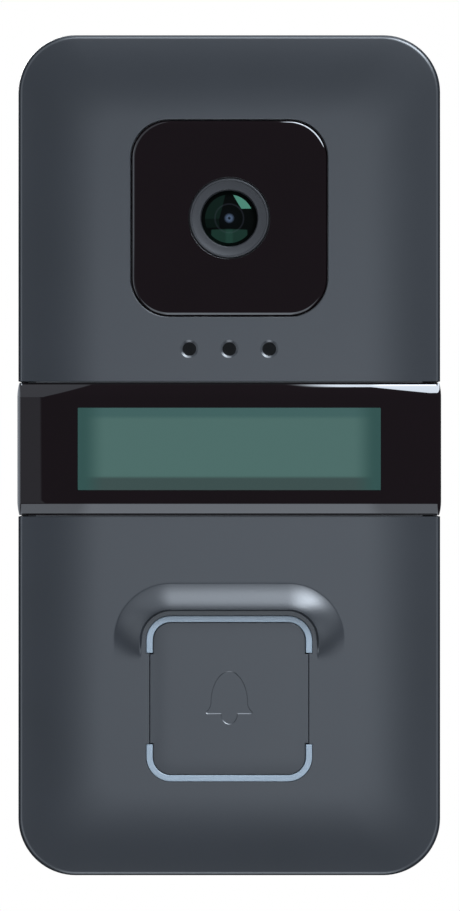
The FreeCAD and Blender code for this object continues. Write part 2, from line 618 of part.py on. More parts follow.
def light_guide(side):
    """One C-shaped guide: side is 1 for the top and -1 for the bottom."""
    back = FRAME_FRONT_Y - 1.0
    ring = slab(RING_SIZE, RING_SIZE, RING_R, back, FACE_Y, 0, BTN_Z)
    inner = RING_SIZE - 2 * RING_W
    ring = ring.cut(slab(inner, inner, RING_R - RING_W, back, FACE_Y, 0, BTN_Z))
    reach = RING_SIZE / 2
    near, far = sorted((side * (reach - GUIDE_LEG), side * (reach + 1)))
    guide = ring.common(box(-reach - 1, reach + 1, FACE_Y - 1, back, BTN_Z + near, BTN_Z + far))
    prong_z = BTN_Z + side * (reach - RING_W / 2)
    prongs = [centred_box(x, prong_z, 3.2, RING_W, -14.0, back) for x in (-7.5, 7.5)]
    return guide.fuse(join(prongs))


def button_frame():
    frame = slab(44, 38, 3, FRAME_FRONT_Y + 1.5, FRAME_FRONT_Y, 0, BTN_Z)
    frame = frame.cut(rod(0, BTN_Z, 3.2, FRAME_FRONT_Y + 1.5, FRAME_FRONT_Y))
    for x, z in corners(19.5, 16.5):
        frame = frame.cut(rod(x, BTN_Z + z, 1.0, FRAME_FRONT_Y + 1.5, FRAME_FRONT_Y))
    for side in (-1, 1):
        prong_z = BTN_Z + side * (RING_SIZE / 2 - RING_W / 2)
        for x in (-7.5, 7.5):
            frame = frame.cut(centred_box(x, prong_z, 3.6, RING_W + 0.4, FRAME_FRONT_Y + 1.5, FRAME_FRONT_Y))
    return frame


def frame_screws():
    return Part.makeCompound([machine_screw(x, BTN_Z + z, FRAME_FRONT_Y + 1.5, 1.7, 0.9, 0.78, 4.6)
                              for x, z in corners(19.5, 16.5)])


def button_seal():
    seal = slab(21, 21, 3, FRAME_FRONT_Y, FRAME_FRONT_Y - 0.6, 0, BTN_Z)
    collar = rod(0, BTN_Z, 4.0, FRAME_FRONT_Y, FRAME_FRONT_Y - 1.6)
    return seal.fuse(collar).cut(rod(0, BTN_Z, 2.6, FRAME_FRONT_Y, FRAME_FRONT_Y - 1.6))


def tact_switch():
    case = centred_box(0, BTN_Z, 6.2, 6.2, BOARD_FRONT_Y, SWITCH_FRONT_Y)
    legs = join([centred_box(x, BTN_Z + z, 1.0, 0.7, BOARD_FRONT_Y, BOARD_FRONT_Y - 0.3)
                 for x, z in corners(3.5, 2.2)])
    depth = 0.8 + TRAVEL + 0.1
    return case.fuse(legs).cut(rod(0, BTN_Z, 1.8, SWITCH_FRONT_Y + depth, SWITCH_FRONT_Y))


def switch_plunger():
    return rod(0, BTN_Z, 1.75, SWITCH_FRONT_Y + 0.8, PLUNGER_FRONT_Y)


def button_leds():
    places = [(x, side * (RING_SIZE / 2 - RING_W / 2)) for side in (-1, 1) for x in (-7.5, 7.5)]
    return Part.makeCompound([centred_box(x, BTN_Z + z, 2.0, 1.2, BOARD_FRONT_Y, BOARD_FRONT_Y - 0.8)
                              for x, z in places])


def main_board():
    board = slab(2 * BOARD_X, 2 * BOARD_Z, 3, BOARD_BACK_Y, BOARD_FRONT_Y)
    for x, z in corners(BOSS_X, BOSS_Z):
        board = board.cut(rod(x, z, 4.4, BOARD_BACK_Y, BOARD_FRONT_Y))
    for x, z in corners(27, 36):
        board = board.cut(rod(x, z, 1.1, BOARD_BACK_Y, BOARD_FRONT_Y))
    return board


def board_screws():
    screws = []
    for x, z in corners(27, 36):
        head = rod(x, z, 1.9, BOARD_FRONT_Y, BOARD_FRONT_Y - 1.0)
        shank = rod(x, z, 0.78, -6.2, BOARD_FRONT_Y)
        slot = centred_box(x, z, 2.6, 0.5, BOARD_FRONT_Y - 0.5, BOARD_FRONT_Y - 1.0)
        screws.append(head.fuse(shank).cut(slot))
    return Part.makeCompound(screws)


def processor_chip():
    return centred_box(-4, -19, 12, 12, BOARD_FRONT_Y, BOARD_FRONT_Y - 1.2)


def rf_shield():
    can = centred_box(-1, -19, 26, 17, BOARD_FRONT_Y, BOARD_FRONT_Y - 2.6)
    return can.cut(centred_box(-1, -19, 25.4, 16.4, BOARD_FRONT_Y, BOARD_FRONT_Y - 2.3))


def wifi_antenna():
    radiator = box(16, 27, -17.0, -16.7, 25, 31)
    legs = [box(16, 17.2, -17.0, BOARD_FRONT_Y, 25, 25.3), box(20, 21.2, -17.0, BOARD_FRONT_Y, 25, 25.3)]
    return radiator.fuse(join(legs))


def capacitor():
    return Part.makeCylinder(2.9, 11, Vector(9, BOARD_BACK_Y + 3.0, 20), Vector(1, 0, 0))


def power_coil():
    return slab(12, 12, 2, -6.2, BOARD_BACK_Y, -14, 20)


def bridge_rectifier():
    return centred_box(20, 4, 9, 8, -7.4, BOARD_BACK_Y)


def terminal_block():
    block = centred_box(0, ENTRY_Z, 22, 11, -5.3, BOARD_BACK_Y)
    for side in (-1, 1):
        block = block.cut(rod(side * 5.5, ENTRY_Z + 2.4, 2.1, -5.3, -8.4))
        block = block.cut(centred_box(side * 5.5, ENTRY_Z - 2.8, 4.4, 3.0, -5.3, -9.0))
    return block


def terminal_screws():
    heads = []
    for side in (-1, 1):
        x, z = side * 5.5, ENTRY_Z + 2.4
        heads.append(rod(x, z, 1.9, -6.6, -8.4).cut(centred_box(x, z, 3.0, 0.6, -6.6, -7.4)))
    return Part.makeCompound(heads)


def build():
    """Every node's name and solid."""
    nodes = {
        "front_shell": front_shell(), "rear_housing": rear_housing(), "housing_gasket": housing_gasket(),
        "wall_plate": wall_plate(), "security_screw": security_screw(),
        "camera_window": camera_window(), "window_adhesive": window_adhesive(),
        "lens_bezel": lens_bezel(), "front_lens": front_lens(), "lens_barrel": lens_barrel(),
        "inner_lenses": inner_lenses(), "lens_holder": lens_holder(), "ir_filter": ir_filter(),
        "image_sensor": image_sensor(), "camera_board": camera_board(), "camera_screws": camera_screws(),
        "camera_ribbon": camera_ribbon(), "camera_bracket": camera_bracket(),
        "bracket_screws": bracket_screws(), "ir_led_board": ir_led_board(),
        "ir_leds": ir_leds(), "lens_light_seal": lens_light_seal(), "light_sensor": light_sensor(),
        "speaker_mesh": speaker_mesh(), "speaker_gasket": speaker_gasket(),
        "speaker_frame": speaker_frame(), "speaker_cone": speaker_cone(),
        "speaker_magnet": speaker_magnet(), "speaker_contacts": speaker_contacts(),
        "microphone": microphone(), "microphone_boot": microphone_boot(),
        "name_cover": name_cover(), "name_window": name_window(), "name_insert": name_insert(),
        "name_diffuser": name_diffuser(), "backlight_reflector": backlight_reflector(),
        "backlight_leds": backlight_leds(), "button_cap": button_cap(),
        "light_guide_top": light_guide(1), "light_guide_bottom": light_guide(-1),
        "button_frame": button_frame(), "frame_screws": frame_screws(), "button_seal": button_seal(),
        "tact_switch": tact_switch(), "switch_plunger": switch_plunger(), "button_leds": button_leds(),
        "main_board": main_board(), "board_screws": board_screws(), "processor_chip": processor_chip(),
        "rf_shield": rf_shield(), "wifi_antenna": wifi_antenna(), "capacitor": capacitor(),
        "power_coil": power_coil(), "bridge_rectifier": bridge_rectifier(),
        "terminal_block": terminal_block(), "terminal_screws": terminal_screws(),
    }
    for number, (x, z) in enumerate(corners(BOSS_X, BOSS_Z), 1):
        nodes[f"housing_screw_{number}"] = housing_screw(x, z)
    return nodes


os.makedirs("parts", exist_ok=True)
for name, shape in build().items():
    if not shape.isValid():
        raise ValueError(f"{name} is not a valid solid")
    print(f"{name}: {len(shape.Solids)} solid(s), {shape.Volume:.1f} mm3")
    shape.exportStep(f"parts/{name}.step")
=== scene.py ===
"""Looks of a wall-mounted video doorbell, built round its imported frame.

Shapes are worked out in millimetres and turned to metres when a mesh is made. X is right and Z is up
seen from the front, the front faces -Y, and every place comes from the boxes of the frame's nodes.
"""

import json
import logging
import math
from dataclasses import dataclass, field
from enum import Enum
from typing import Any, Callable, Optional, Sequence

import bmesh
import bpy
import numpy as np
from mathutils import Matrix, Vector
from mathutils.geometry import delaunay_2d_cdt

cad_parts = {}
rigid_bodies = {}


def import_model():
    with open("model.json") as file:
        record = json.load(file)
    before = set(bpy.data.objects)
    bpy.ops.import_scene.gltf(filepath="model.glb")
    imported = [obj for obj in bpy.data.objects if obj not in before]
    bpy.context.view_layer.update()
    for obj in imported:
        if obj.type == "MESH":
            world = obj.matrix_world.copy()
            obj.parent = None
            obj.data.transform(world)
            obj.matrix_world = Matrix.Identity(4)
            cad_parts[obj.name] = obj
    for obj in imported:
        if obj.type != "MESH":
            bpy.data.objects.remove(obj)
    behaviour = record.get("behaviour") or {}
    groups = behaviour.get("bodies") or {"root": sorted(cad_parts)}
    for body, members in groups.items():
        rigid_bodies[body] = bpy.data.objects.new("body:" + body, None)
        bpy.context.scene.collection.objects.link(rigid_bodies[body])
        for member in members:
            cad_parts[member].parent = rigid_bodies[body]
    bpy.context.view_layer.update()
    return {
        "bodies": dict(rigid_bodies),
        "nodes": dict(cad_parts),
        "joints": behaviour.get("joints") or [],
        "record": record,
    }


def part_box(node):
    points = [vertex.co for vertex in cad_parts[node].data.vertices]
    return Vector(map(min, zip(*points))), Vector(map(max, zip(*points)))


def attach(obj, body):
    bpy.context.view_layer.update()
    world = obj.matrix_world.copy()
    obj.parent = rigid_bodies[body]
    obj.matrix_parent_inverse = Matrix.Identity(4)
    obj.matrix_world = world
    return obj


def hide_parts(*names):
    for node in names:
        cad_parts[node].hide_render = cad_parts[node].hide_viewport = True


LOG = logging.getLogger("doorbell")
MM = 0.001
WELD_MM = 0.002
SUPPORT_MM = 0.06
SMOOTH_BELOW = math.radians(24)
PATCH_MM = 14
EASE_MM = 0.12
Surface = Callable[[np.ndarray, np.ndarray], np.ndarray]


# ---------------------------------------------------------------- places

@dataclass(frozen=True)
class Extent:
    """The box of a frame node, in millimetres."""

    low: Vector
    high: Vector

    @classmethod
    def of(cls, node: str) -> "Extent":
        """Reads the box of the named node."""
        low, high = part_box(node)
        return cls(low / MM, high / MM)

    @property
    def centre(self) -> Vector:
        """The middle of the box."""
        return (self.low + self.high) / 2

    @property
    def size(self) -> Vector:
        """The box's three sides."""
        return self.high - self.low


# ---------------------------------------------------------------- outlines

def rounded_outline(half_w: float, half_h: float, radius: float, centre: tuple[float, float] = (0.0, 0.0),
                    arc: int = 16, across: int = 1, up: int = 1) -> np.ndarray:
    """A rounded rectangle as (x, z) points, anticlockwise.

    Args:
        half_w: half its width.
        half_h: half its height.
        radius: its corner radius.
        centre: its middle.
        arc: steps in each corner.
        across: steps in the top and bottom sides.
        up: steps in the left and right sides.

    Returns:
        The points, without a repeat of the first.
    """
    points: list[tuple[float, float]] = []
    turns = ((1, 1, 0.0, across), (-1, 1, 90.0, up), (-1, -1, 180.0, across), (1, -1, 270.0, up))
    for index, (sx, sz, start, steps) in enumerate(turns):
        cx, cz = sx * (half_w - radius), sz * (half_h - radius)
        for step in range(arc + 1):
            angle = math.radians(start + 90.0 * step / arc)
            points.append((cx + radius * math.cos(angle), cz + radius * math.sin(angle)))
        nx, nz, nstart = turns[(index + 1) % 4][:3]
        angle = math.radians(nstart)
        following = (nx * (half_w - radius) + radius * math.cos(angle),
                     nz * (half_h - radius) + radius * math.sin(angle))
        last = points[-1]
        for step in range(1, steps):
            t = step / steps
            points.append((last[0] + (following[0] - last[0]) * t, last[1] + (following[1] - last[1]) * t))
    return np.array(points) + np.array(centre)


def circle_outline(radius: float, centre: tuple[float, float], steps: int = 96) -> np.ndarray:
    """A circle as (x, z) points, anticlockwise."""
    angles = np.arange(steps) * 2 * math.pi / steps
    return np.stack([np.cos(angles), np.sin(angles)], 1) * radius + np.array(centre)


def stepped_square(half: float, radius: float, step_x: float, land: float, arc: int) -> np.ndarray:
    """A rounded square about the origin, whose left and right sides stand elsewhere along their middle.

    Args:
        half: half its width.
        radius: its corner radius.
        step_x: where the middle stretch of each side stands.
        land: half the height of that stretch.
        arc: steps in each corner.

    Returns:
        The points, anticlockwise, without a repeat of the first.
    """
    loop = rounded_outline(half, half, radius, arc=arc)
    right = [(half, -land), (step_x, -land), (step_x, land), (half, land)]
    left = [(-x, -z) for x, z in right]
    middle = len(loop) // 2
    return np.array([*loop[:middle], *left, *loop[middle:], *right])


def offset_outline(points: np.ndarray, inwards: float) -> np.ndarray:
    """An anticlockwise outline moved inwards by a distance, its corners mitred."""
    before, after = points - np.roll(points, 1, 0), np.roll(points, -1, 0) - points
    first = np.stack([-before[:, 1], before[:, 0]], 1)
    second = np.stack([-after[:, 1], after[:, 0]], 1)
    first /= np.linalg.norm(first, axis=1, keepdims=True)
    second /= np.linalg.norm(second, axis=1, keepdims=True)
    mitre = (first + second) / (1 + (first * second).sum(1, keepdims=True))
    return points + mitre * inwards


def refined(points: np.ndarray, spacing: float) -> np.ndarray:
    """The same closed outline with no step longer than the spacing."""
    out: list[np.ndarray] = []
    for here, there in zip(points, np.roll(points, -1, 0)):
        steps = max(1, math.ceil(float(np.linalg.norm(there - here)) / spacing))
        out += [here + (there - here) * k / steps for k in range(steps)]
    return np.array(out)


def inside(points: np.ndarray, outline: np.ndarray) -> np.ndarray:
    """Which points lie inside the outline, by counting crossings."""
    x, z = points[:, 0][:, None], points[:, 1][:, None]
    x0, z0 = outline[:, 0][None], outline[:, 1][None]
    x1, z1 = np.roll(outline[:, 0], -1)[None], np.roll(outline[:, 1], -1)[None]
    spans = (z0 > z) != (z1 > z)
    rise = np.where(z1 == z0, 1.0, z1 - z0)
    crossing = x < (x1 - x0) * (z - z0) / rise + x0
    return (spans & crossing).sum(1) % 2 == 1


def rounded_distance(x: np.ndarray, z: np.ndarray, half: float, radius: float) -> np.ndarray:
    """Distance from a rounded square about the origin: negative inside, positive outside."""
    qx, qz = np.abs(x) - (half - radius), np.abs(z) - (half - radius)
    outer = np.hypot(np.maximum(qx, 0), np.maximum(qz, 0))
    return outer + np.minimum(np.maximum(qx, qz), 0) - radius


def smoothstep(low: float, high: float, value: np.ndarray) -> np.ndarray:
    """0 below low, 1 above high, and a smooth rise between."""
    t = np.clip((value - low) / (high - low), 0, 1)
    return t * t * (3 - 2 * t)


# ---------------------------------------------------------------- meshes

def lifted(outline: np.ndarray, y: Any) -> np.ndarray:
    """An (x, z) outline as (x, y, z) points, at one y or at one y each."""
    return np.stack([outline[:, 0], np.broadcast_to(y, len(outline)), outline[:, 1]], 1)


def new_object(name: str, data: bpy.types.ID) -> bpy.types.Object:
    """A new object in the scene, which holds the given data."""
    made = bpy.data.objects.new(name, data)
    bpy.context.scene.collection.objects.link(made)
    return made


class Draft:
    """Collects rings and sheets in millimetres and makes one closed, smooth piece of them."""

    def __init__(self) -> None:
        """Starts empty."""
        self.points: list[np.ndarray] = []
        self.faces: list[tuple[int, ...]] = []
        self.count = 0

    def add(self, points: np.ndarray) -> int:
        """Adds points and returns the index of the first."""
        start = self.count
        self.points.append(points)
        self.count += len(points)
        return start

    def loft(self, rings: Sequence[np.ndarray], closed: bool = True) -> None:
        """Joins rings of equal length with quads."""
        length = len(rings[0])
        starts = [self.add(ring) for ring in rings]
        for a, b in zip(starts, starts[1:]):
            for k in range(length if closed else length - 1):
                n = (k + 1) % length
                self.faces.append((a + k, a + n, b + n, b + k))

    def sheet(self, loops: Sequence[np.ndarray], surface: Surface,
              extra: Optional[np.ndarray] = None) -> None:
        """Fills the first outline, except the others, with triangles lifted to a surface.

        Args:
            loops: the outer outline, then those of any holes.
            surface: gives y at arrays of x and z.
            extra: further points, which are kept where they fall on the sheet.
        """
        flat = [np.asarray(loop) for loop in loops]
        edges: list[tuple[int, int]] = []
        start = 0
        for loop in flat:
            edges += [(start + k, start + (k + 1) % len(loop)) for k in range(len(loop))]
            start += len(loop)
        if extra is not None:
            keep = inside(extra, flat[0])
            for hole in flat[1:]:
                keep &= ~inside(extra, hole)
            flat.append(extra[keep])
        points = [Vector(p) for p in np.vstack(flat)]
        coords, _, triangles, *_ = delaunay_2d_cdt(points, edges, [], 0, 1e-5, False)
        places = np.array([tuple(c) for c in coords])
        corners = np.array([tuple(t) for t in triangles])
        middles = places[corners].mean(1)
        keep = inside(middles, np.asarray(loops[0]))
        for hole in loops[1:]:
            keep &= ~inside(middles, np.asarray(hole))
        first = self.add(lifted(places, surface(places[:, 0], places[:, 1])))
        self.faces += [tuple(int(first + i) for i in t) for t in corners[keep]]

    def piece(self, name: str) -> bpy.types.Object:
        """The finished object, in metres, welded and with its faces outwards."""
        mesh = bpy.data.meshes.new(name)
        mesh.from_pydata((np.vstack(self.points) * MM).tolist(), [], self.faces)
        made = bmesh.new()
        made.from_mesh(mesh)
        bmesh.ops.remove_doubles(made, verts=made.verts, dist=WELD_MM * MM)
        bmesh.ops.dissolve_degenerate(made, edges=made.edges, dist=1e-7)
        bmesh.ops.recalc_face_normals(made, faces=made.faces)
        made.to_mesh(mesh)
        made.free()
        return new_object(name, mesh)


def smooth(piece: bpy.types.Object) -> None:
    """Shades a piece smooth: sharp edges where faces meet steeply, and large faces stay flat."""
    piece.data.shade_smooth()
    piece.data.set_sharp_from_angle(angle=SMOOTH_BELOW)
    weight = piece.modifiers.new("weight", "WEIGHTED_NORMAL")
    weight.keep_sharp = True
    bake(piece)


def level(y: float) -> Surface:
    """A flat surface at one y."""
    return lambda x, z: np.full(np.shape(x), y)


def slab(name: str, outline: np.ndarray, y_back: float, y_front: float, edge: float = 0.0,
         holes: Sequence[np.ndarray] = (), hole_edge: float = 0.0, surface: Optional[Surface] = None,
         extra: Optional[np.ndarray] = None, steps: int = 6, draft: Optional[Draft] = None,
         open_loops: Sequence[np.ndarray] = ()) -> bpy.types.Object:
    """A plate with straight sides and a rounded front edge.

    Args:
        name: the piece's name.
        outline: its anticlockwise outline.
        y_back: where its flat back lies.
        y_front: where its front lies, when no surface is given.
        edge: the radius of the front edge.
        holes: outlines of holes through it.
        hole_edge: the radius of the holes' front edge.
        surface: the front's own form.
        extra: points that the front's triangles use.
        steps: steps over a rounded edge.
        draft: a draft that already holds what fills the open loops.
        open_loops: outlines left out of the front sheet.

    Returns:
        The piece.
    """
    made = draft or Draft()
    form = surface or level(y_front)

    def walls(loop: np.ndarray, radius: float, inwards: float) -> np.ndarray:
        top = offset_outline(loop, inwards * radius)
        kept = offset_outline(loop, inwards * (radius + SUPPORT_MM)) if radius else top
        height = form(top[:, 0], top[:, 1])
        rings = [lifted(loop, y_back)]
        for step in range(steps + 1 if radius else 1):
            angle = math.pi / 2 * step / steps
            moved = offset_outline(loop, inwards * radius * (1 - math.cos(angle)))
            rings.append(lifted(moved, height + radius * (1 - math.sin(angle))))
        if radius:
            rings.append(lifted(kept, form(kept[:, 0], kept[:, 1])))
        made.loft(rings)
        return kept

    outer = walls(outline, edge, 1.0)
    inner = [walls(hole, hole_edge, -1.0) for hole in holes]
    made.sheet([outer, *inner, *open_loops], form, extra)
    made.sheet([outline, *holes], level(y_back))
    return made.piece(name)


def lathe(name: str, profile: Sequence[tuple[float, float]], centre: tuple[float, float],
          steps: int = 128) -> bpy.types.Object:
    """A turned piece about a Y line, from (radius, y) points that close on themselves."""
    made = Draft()
    made.loft([lifted(circle_outline(max(r, 1e-6), centre, steps), y) for r, y in [*profile, profile[0]]])
    return made.piece(name)


def bake(piece: bpy.types.Object) -> None:
    """Turns a piece and its modifiers into one plain mesh."""
    graph = bpy.context.evaluated_depsgraph_get()
    mesh = bpy.data.meshes.new_from_object(piece.evaluated_get(graph))
    piece.modifiers.clear()
    piece.data = mesh


def carve(target: bpy.types.Object, cutter: bpy.types.Object) -> None:
    """Cuts one closed piece out of another and removes the cutter."""
    modifier = target.modifiers.new("carve", "BOOLEAN")
    modifier.operation = "DIFFERENCE"
    modifier.solver = "MANIFOLD"
    modifier.object = cutter
    bake(target)
    bpy.data.objects.remove(cutter)


def flared_cutter(outline: np.ndarray, y_back: float, y_front: float, flare: float,
                  y_face: float) -> bpy.types.Object:
    """A cutter that widens by a small chamfer where it leaves the face."""
    made = Draft()
    wide, past = offset_outline(outline, -flare), offset_outline(outline, -2 * flare)
    made.loft([lifted(outline, y_back), lifted(outline, y_face + flare), lifted(wide, y_face),
               lifted(past, y_face - flare), lifted(past, y_front)])
    made.sheet([outline], level(y_back))
    made.sheet([past], level(y_front))
    return made.piece("cutter")


# ---------------------------------------------------------------- finishes

def linear(code: str) -> tuple[float, float, float, float]:
    """An sRGB hex colour as linear red, green, blue and alpha."""
    parts = [int(code[k:k + 2], 16) / 255 for k in (1, 3, 5)]
    return (*[c / 12.92 if c <= 0.04045 else ((c + 0.055) / 1.055) ** 2.4 for c in parts], 1.0)


def add_node(tree: bpy.types.NodeTree, kind: str, values: Optional[dict[Any, Any]] = None,
             links: Optional[dict[Any, bpy.types.NodeSocket]] = None, **settings: Any) -> bpy.types.Node:
    """Adds one node.

    Args:
        tree: the tree that gets it.
        kind: its type.
        values: socket name or number to a constant.
        links: socket name or number to the output that feeds it.
        settings: the node's own properties.

    Returns:
        The node.
    """
    made = tree.nodes.new(kind)
    for key, value in settings.items():
        setattr(made, key, value)
    for key, value in (values or {}).items():
        made.inputs[key].default_value = value
    for key, socket in (links or {}).items():
        tree.links.new(socket, made.inputs[key])
    return made


class Texture(Enum):
    """How a surface was made, which decides its fine relief."""

    MOULDED = "moulded"
    POLISHED = "polished"
    BRUSHED = "brushed"
    FROSTED = "frosted"


@dataclass(frozen=True)
class Finish:
    """A surface: its material, its two nearly equal colours and its fine relief."""

    name: str
    colour: str
    shade: str
    roughness: float
    texture: Texture = Texture.MOULDED
    metallic: float = 0.0
    ior: float = 1.5
    grain_mm: float = 0.35
    depth_mm: float = 0.012
    spread: float = 0.05
    transmission: float = 0.0
    subsurface: float = 0.0
    specular_tint: str = "#ffffff"

    def material(self) -> bpy.types.Material:
        """Builds the material once and returns it each time."""
        if self.name in bpy.data.materials:
            return bpy.data.materials[self.name]
        made = bpy.data.materials.new(self.name)
        made.use_nodes = True
        tree = made.node_tree
        tree.nodes.clear()
        values: dict[Any, Any] = {"Metallic": self.metallic, "Specular Tint": linear(self.specular_tint),
                                  "Transmission Weight": self.transmission,
                                  "Subsurface Weight": self.subsurface,
                                  "Subsurface Radius": (1.0, 1.0, 1.0), "Subsurface Scale": 0.8 * MM}
        if not self.metallic:
            values["IOR"] = self.ior
        shader = add_node(tree, "ShaderNodeBsdfPrincipled", values)
        add_node(tree, "ShaderNodeOutputMaterial", links={"Surface": shader.outputs["BSDF"]})
        place = add_node(tree, "ShaderNodeTexCoord").outputs["Object"]
        self.colour_and_roughness(tree, shader, place)
        self.relief(tree, shader, place)
        return made

    def colour_and_roughness(self, tree: bpy.types.NodeTree, shader: bpy.types.Node,
                             place: bpy.types.NodeSocket) -> None:
        """Mixes the two colours in soft patches and lets the roughness drift with them."""
        patches = add_node(tree, "ShaderNodeTexNoise", {"Scale": 1 / (PATCH_MM * MM), "Detail": 2.0},
                           {"Vector": place})
        blend = add_node(tree, "ShaderNodeMix", {6: linear(self.colour), 7: linear(self.shade)},
                         {0: patches.outputs["Fac"]}, data_type="RGBA")
        tree.links.new(blend.outputs[2], shader.inputs["Base Color"])
        drift = add_node(tree, "ShaderNodeMapRange",
                         {"To Min": max(0.0, self.roughness - self.spread / 2),
                          "To Max": self.roughness + self.spread / 2}, {"Value": patches.outputs["Fac"]})
        tree.links.new(drift.outputs["Result"], shader.inputs["Roughness"])

    def relief(self, tree: bpy.types.NodeTree, shader: bpy.types.Node,
               place: bpy.types.NodeSocket) -> None:
        """Adds the fine relief as a bump of real size."""
        stretch = {Texture.BRUSHED: (1.0, 1.0, 0.04)}.get(self.texture, (1.0, 1.0, 1.0))
        mapped = add_node(tree, "ShaderNodeMapping", {"Scale": stretch}, {"Vector": place})
        grain = add_node(tree, "ShaderNodeTexNoise", {"Scale": 1 / (self.grain_mm * MM), "Detail": 3.0},
                         {"Vector": mapped.outputs["Vector"]})
        bump = add_node(tree, "ShaderNodeBump", {"Strength": 1.0, "Distance": self.depth_mm * MM},
                        {"Height": grain.outputs["Fac"]})
        tree.links.new(bump.outputs["Normal"], shader.inputs["Normal"])


# Moulded ABS with a fine spark-eroded grain: satin anthracite, a soft sheen with no mirror image
SATIN_ANTHRACITE = Finish("satin_anthracite_abs", "#17191c", "#191b1f", 0.30, ior=1.55, grain_mm=0.45,
                          depth_mm=0.006, spread=0.02)
# The same plastic as moulded for the rear housing, with a coarser grain: darker and duller
MATT_BLACK = Finish("matt_black_abs", "#1e2022", "#222426", 0.55, grain_mm=0.6, depth_mm=0.02)
# Polished PMMA over black: a near mirror that shows only what is bright
GLOSS_BLACK = Finish("gloss_black_pmma", "#0c0708", "#0e080a", 0.0, Texture.POLISHED, ior=1.49,
                     grain_mm=6.0, depth_mm=0.0003, spread=0.0)
# Blackened, lightly satin ring of the lens
BEZEL_BLACK = Finish("satin_black_bezel", "#101013", "#131316", 0.46, grain_mm=0.25, depth_mm=0.004)
# Dead-black anodised inside of the lens barrel
BARREL_BLACK = Finish("black_anodised_barrel", "#030303", "#040404", 0.9, ior=1.05,
                      grain_mm=0.2, depth_mm=0.002)
# Coated optical glass: clear, with a green second reflection from its coating
COATED_GLASS = Finish("coated_optical_glass", "#f2fff8", "#eefff6", 0.0, Texture.POLISHED, ior=1.30,
                      grain_mm=4.0, depth_mm=0.0, spread=0.0, transmission=1.0, specular_tint="#86dcb8")
# Coated optical glass over a black barrel: nearly black, with green mirror reflections
FRONT_GLASS = Finish("coated_front_glass", "#030303", "#040404", 0.0, Texture.POLISHED, ior=1.30,
                     grain_mm=4.0, depth_mm=0.0, spread=0.0, specular_tint="#86dcb8")
# Dark glass of the second element, whose coating gives violet and blue glints
VIOLET_GLASS = Finish("violet_coated_glass", "#05060a", "#07070c", 0.0, Texture.POLISHED, ior=1.7,
                      grain_mm=4.0, depth_mm=0.0, spread=0.0, specular_tint="#c8ccff")
# Frosted polycarbonate of the light guides: milky, slightly blue, light goes a little way in
FROSTED_GUIDE = Finish("frosted_polycarbonate", "#69737b", "#6f7981", 0.3, Texture.FROSTED, ior=1.58,
                       grain_mm=0.5, depth_mm=0.006, subsurface=0.4)
# Powder-coated steel of the wall plate: dark with a fine orange peel
POWDER_COAT = Finish("powder_coated_steel", "#2b2e31", "#303336", 0.5, grain_mm=0.8, depth_mm=0.03)
# Stainless steel of screws, turned and faintly streaked
STAINLESS = Finish("turned_stainless_steel", "#b9babc", "#c4c5c7", 0.3, Texture.BRUSHED, metallic=1.0,
                   grain_mm=0.2, depth_mm=0.003)
# Tin-plated sheet of shields and contacts
TINPLATE = Finish("tin_plated_steel", "#c6c8c9", "#b7babd", 0.25, Texture.BRUSHED, metallic=1.0,
                  grain_mm=0.3, depth_mm=0.002)
# Black silicone rubber: matt, slightly dusty
SILICONE = Finish("black_silicone_rubber", "#151515", "#1c1c1c", 0.7, grain_mm=0.3, depth_mm=0.01)
# Green solder mask over glass-fibre board: glossy lacquer that shows the weave faintly
SOLDER_MASK = Finish("green_solder_mask", "#12452c", "#185535", 0.25, grain_mm=0.5, depth_mm=0.01)
# Moulded epoxy of chips and inductors: matt black with fine grain
CHIP_EPOXY = Finish("moulded_epoxy", "#1a1a1c", "#212123", 0.5, grain_mm=0.15, depth_mm=0.006)
# White ABS of reflectors and plungers
WHITE_ABS = Finish("white_abs", "#dcdcd6", "#d4d4ce", 0.4, grain_mm=0.3, depth_mm=0.008)
# Green nylon of the terminal block
GREEN_NYLON = Finish("green_nylon", "#2f6b46", "#2a6240", 0.45, grain_mm=0.4, depth_mm=0.015)
# Amber polyimide film of the ribbon cable
POLYIMIDE = Finish("amber_polyimide_film", "#8a5a22", "#7d4f1c", 0.3, grain_mm=0.6, depth_mm=0.004)
# Printed polyester card behind the name window
NAME_CARD = Finish("printed_polyester_card", "#466561", "#486763", 0.45, grain_mm=0.3, depth_mm=0.004)
# Woven polyester of the acoustic mesh
BLACK_MESH = Finish("woven_polyester_mesh", "#0c0c0e", "#121214", 0.6, grain_mm=0.2, depth_mm=0.03)
# White-painted board: flat and even, so it stays plain
PALE_BOARD = Finish("white_painted_board", "#f4f4f2", "#f6f6f4", 0.9, grain_mm=2.0, depth_mm=0.0)

LENS_PATTERN_R = 5.0

SLOT_FINISH = {
    "shell_anthracite": SATIN_ANTHRACITE, "housing_black": MATT_BLACK, "gloss_black": GLOSS_BLACK,
    "clear_pane": COATED_GLASS, "name_card": NAME_CARD, "milky_plastic": FROSTED_GUIDE,
    "white_plastic": WHITE_ABS, "bezel_black": BEZEL_BLACK, "lens_glass": COATED_GLASS,
    "barrel_metal": BARREL_BLACK, "stainless_steel": STAINLESS, "zinc_plate": POWDER_COAT,
    "rubber_black": SILICONE, "circuit_board": SOLDER_MASK, "chip_black": CHIP_EPOXY,
    "tin_shield": TINPLATE, "mesh_black": BLACK_MESH, "terminal_green": GREEN_NYLON,
    "tape_black": SILICONE, "polyimide_amber": POLYIMIDE, "speaker_paper": CHIP_EPOXY,
}


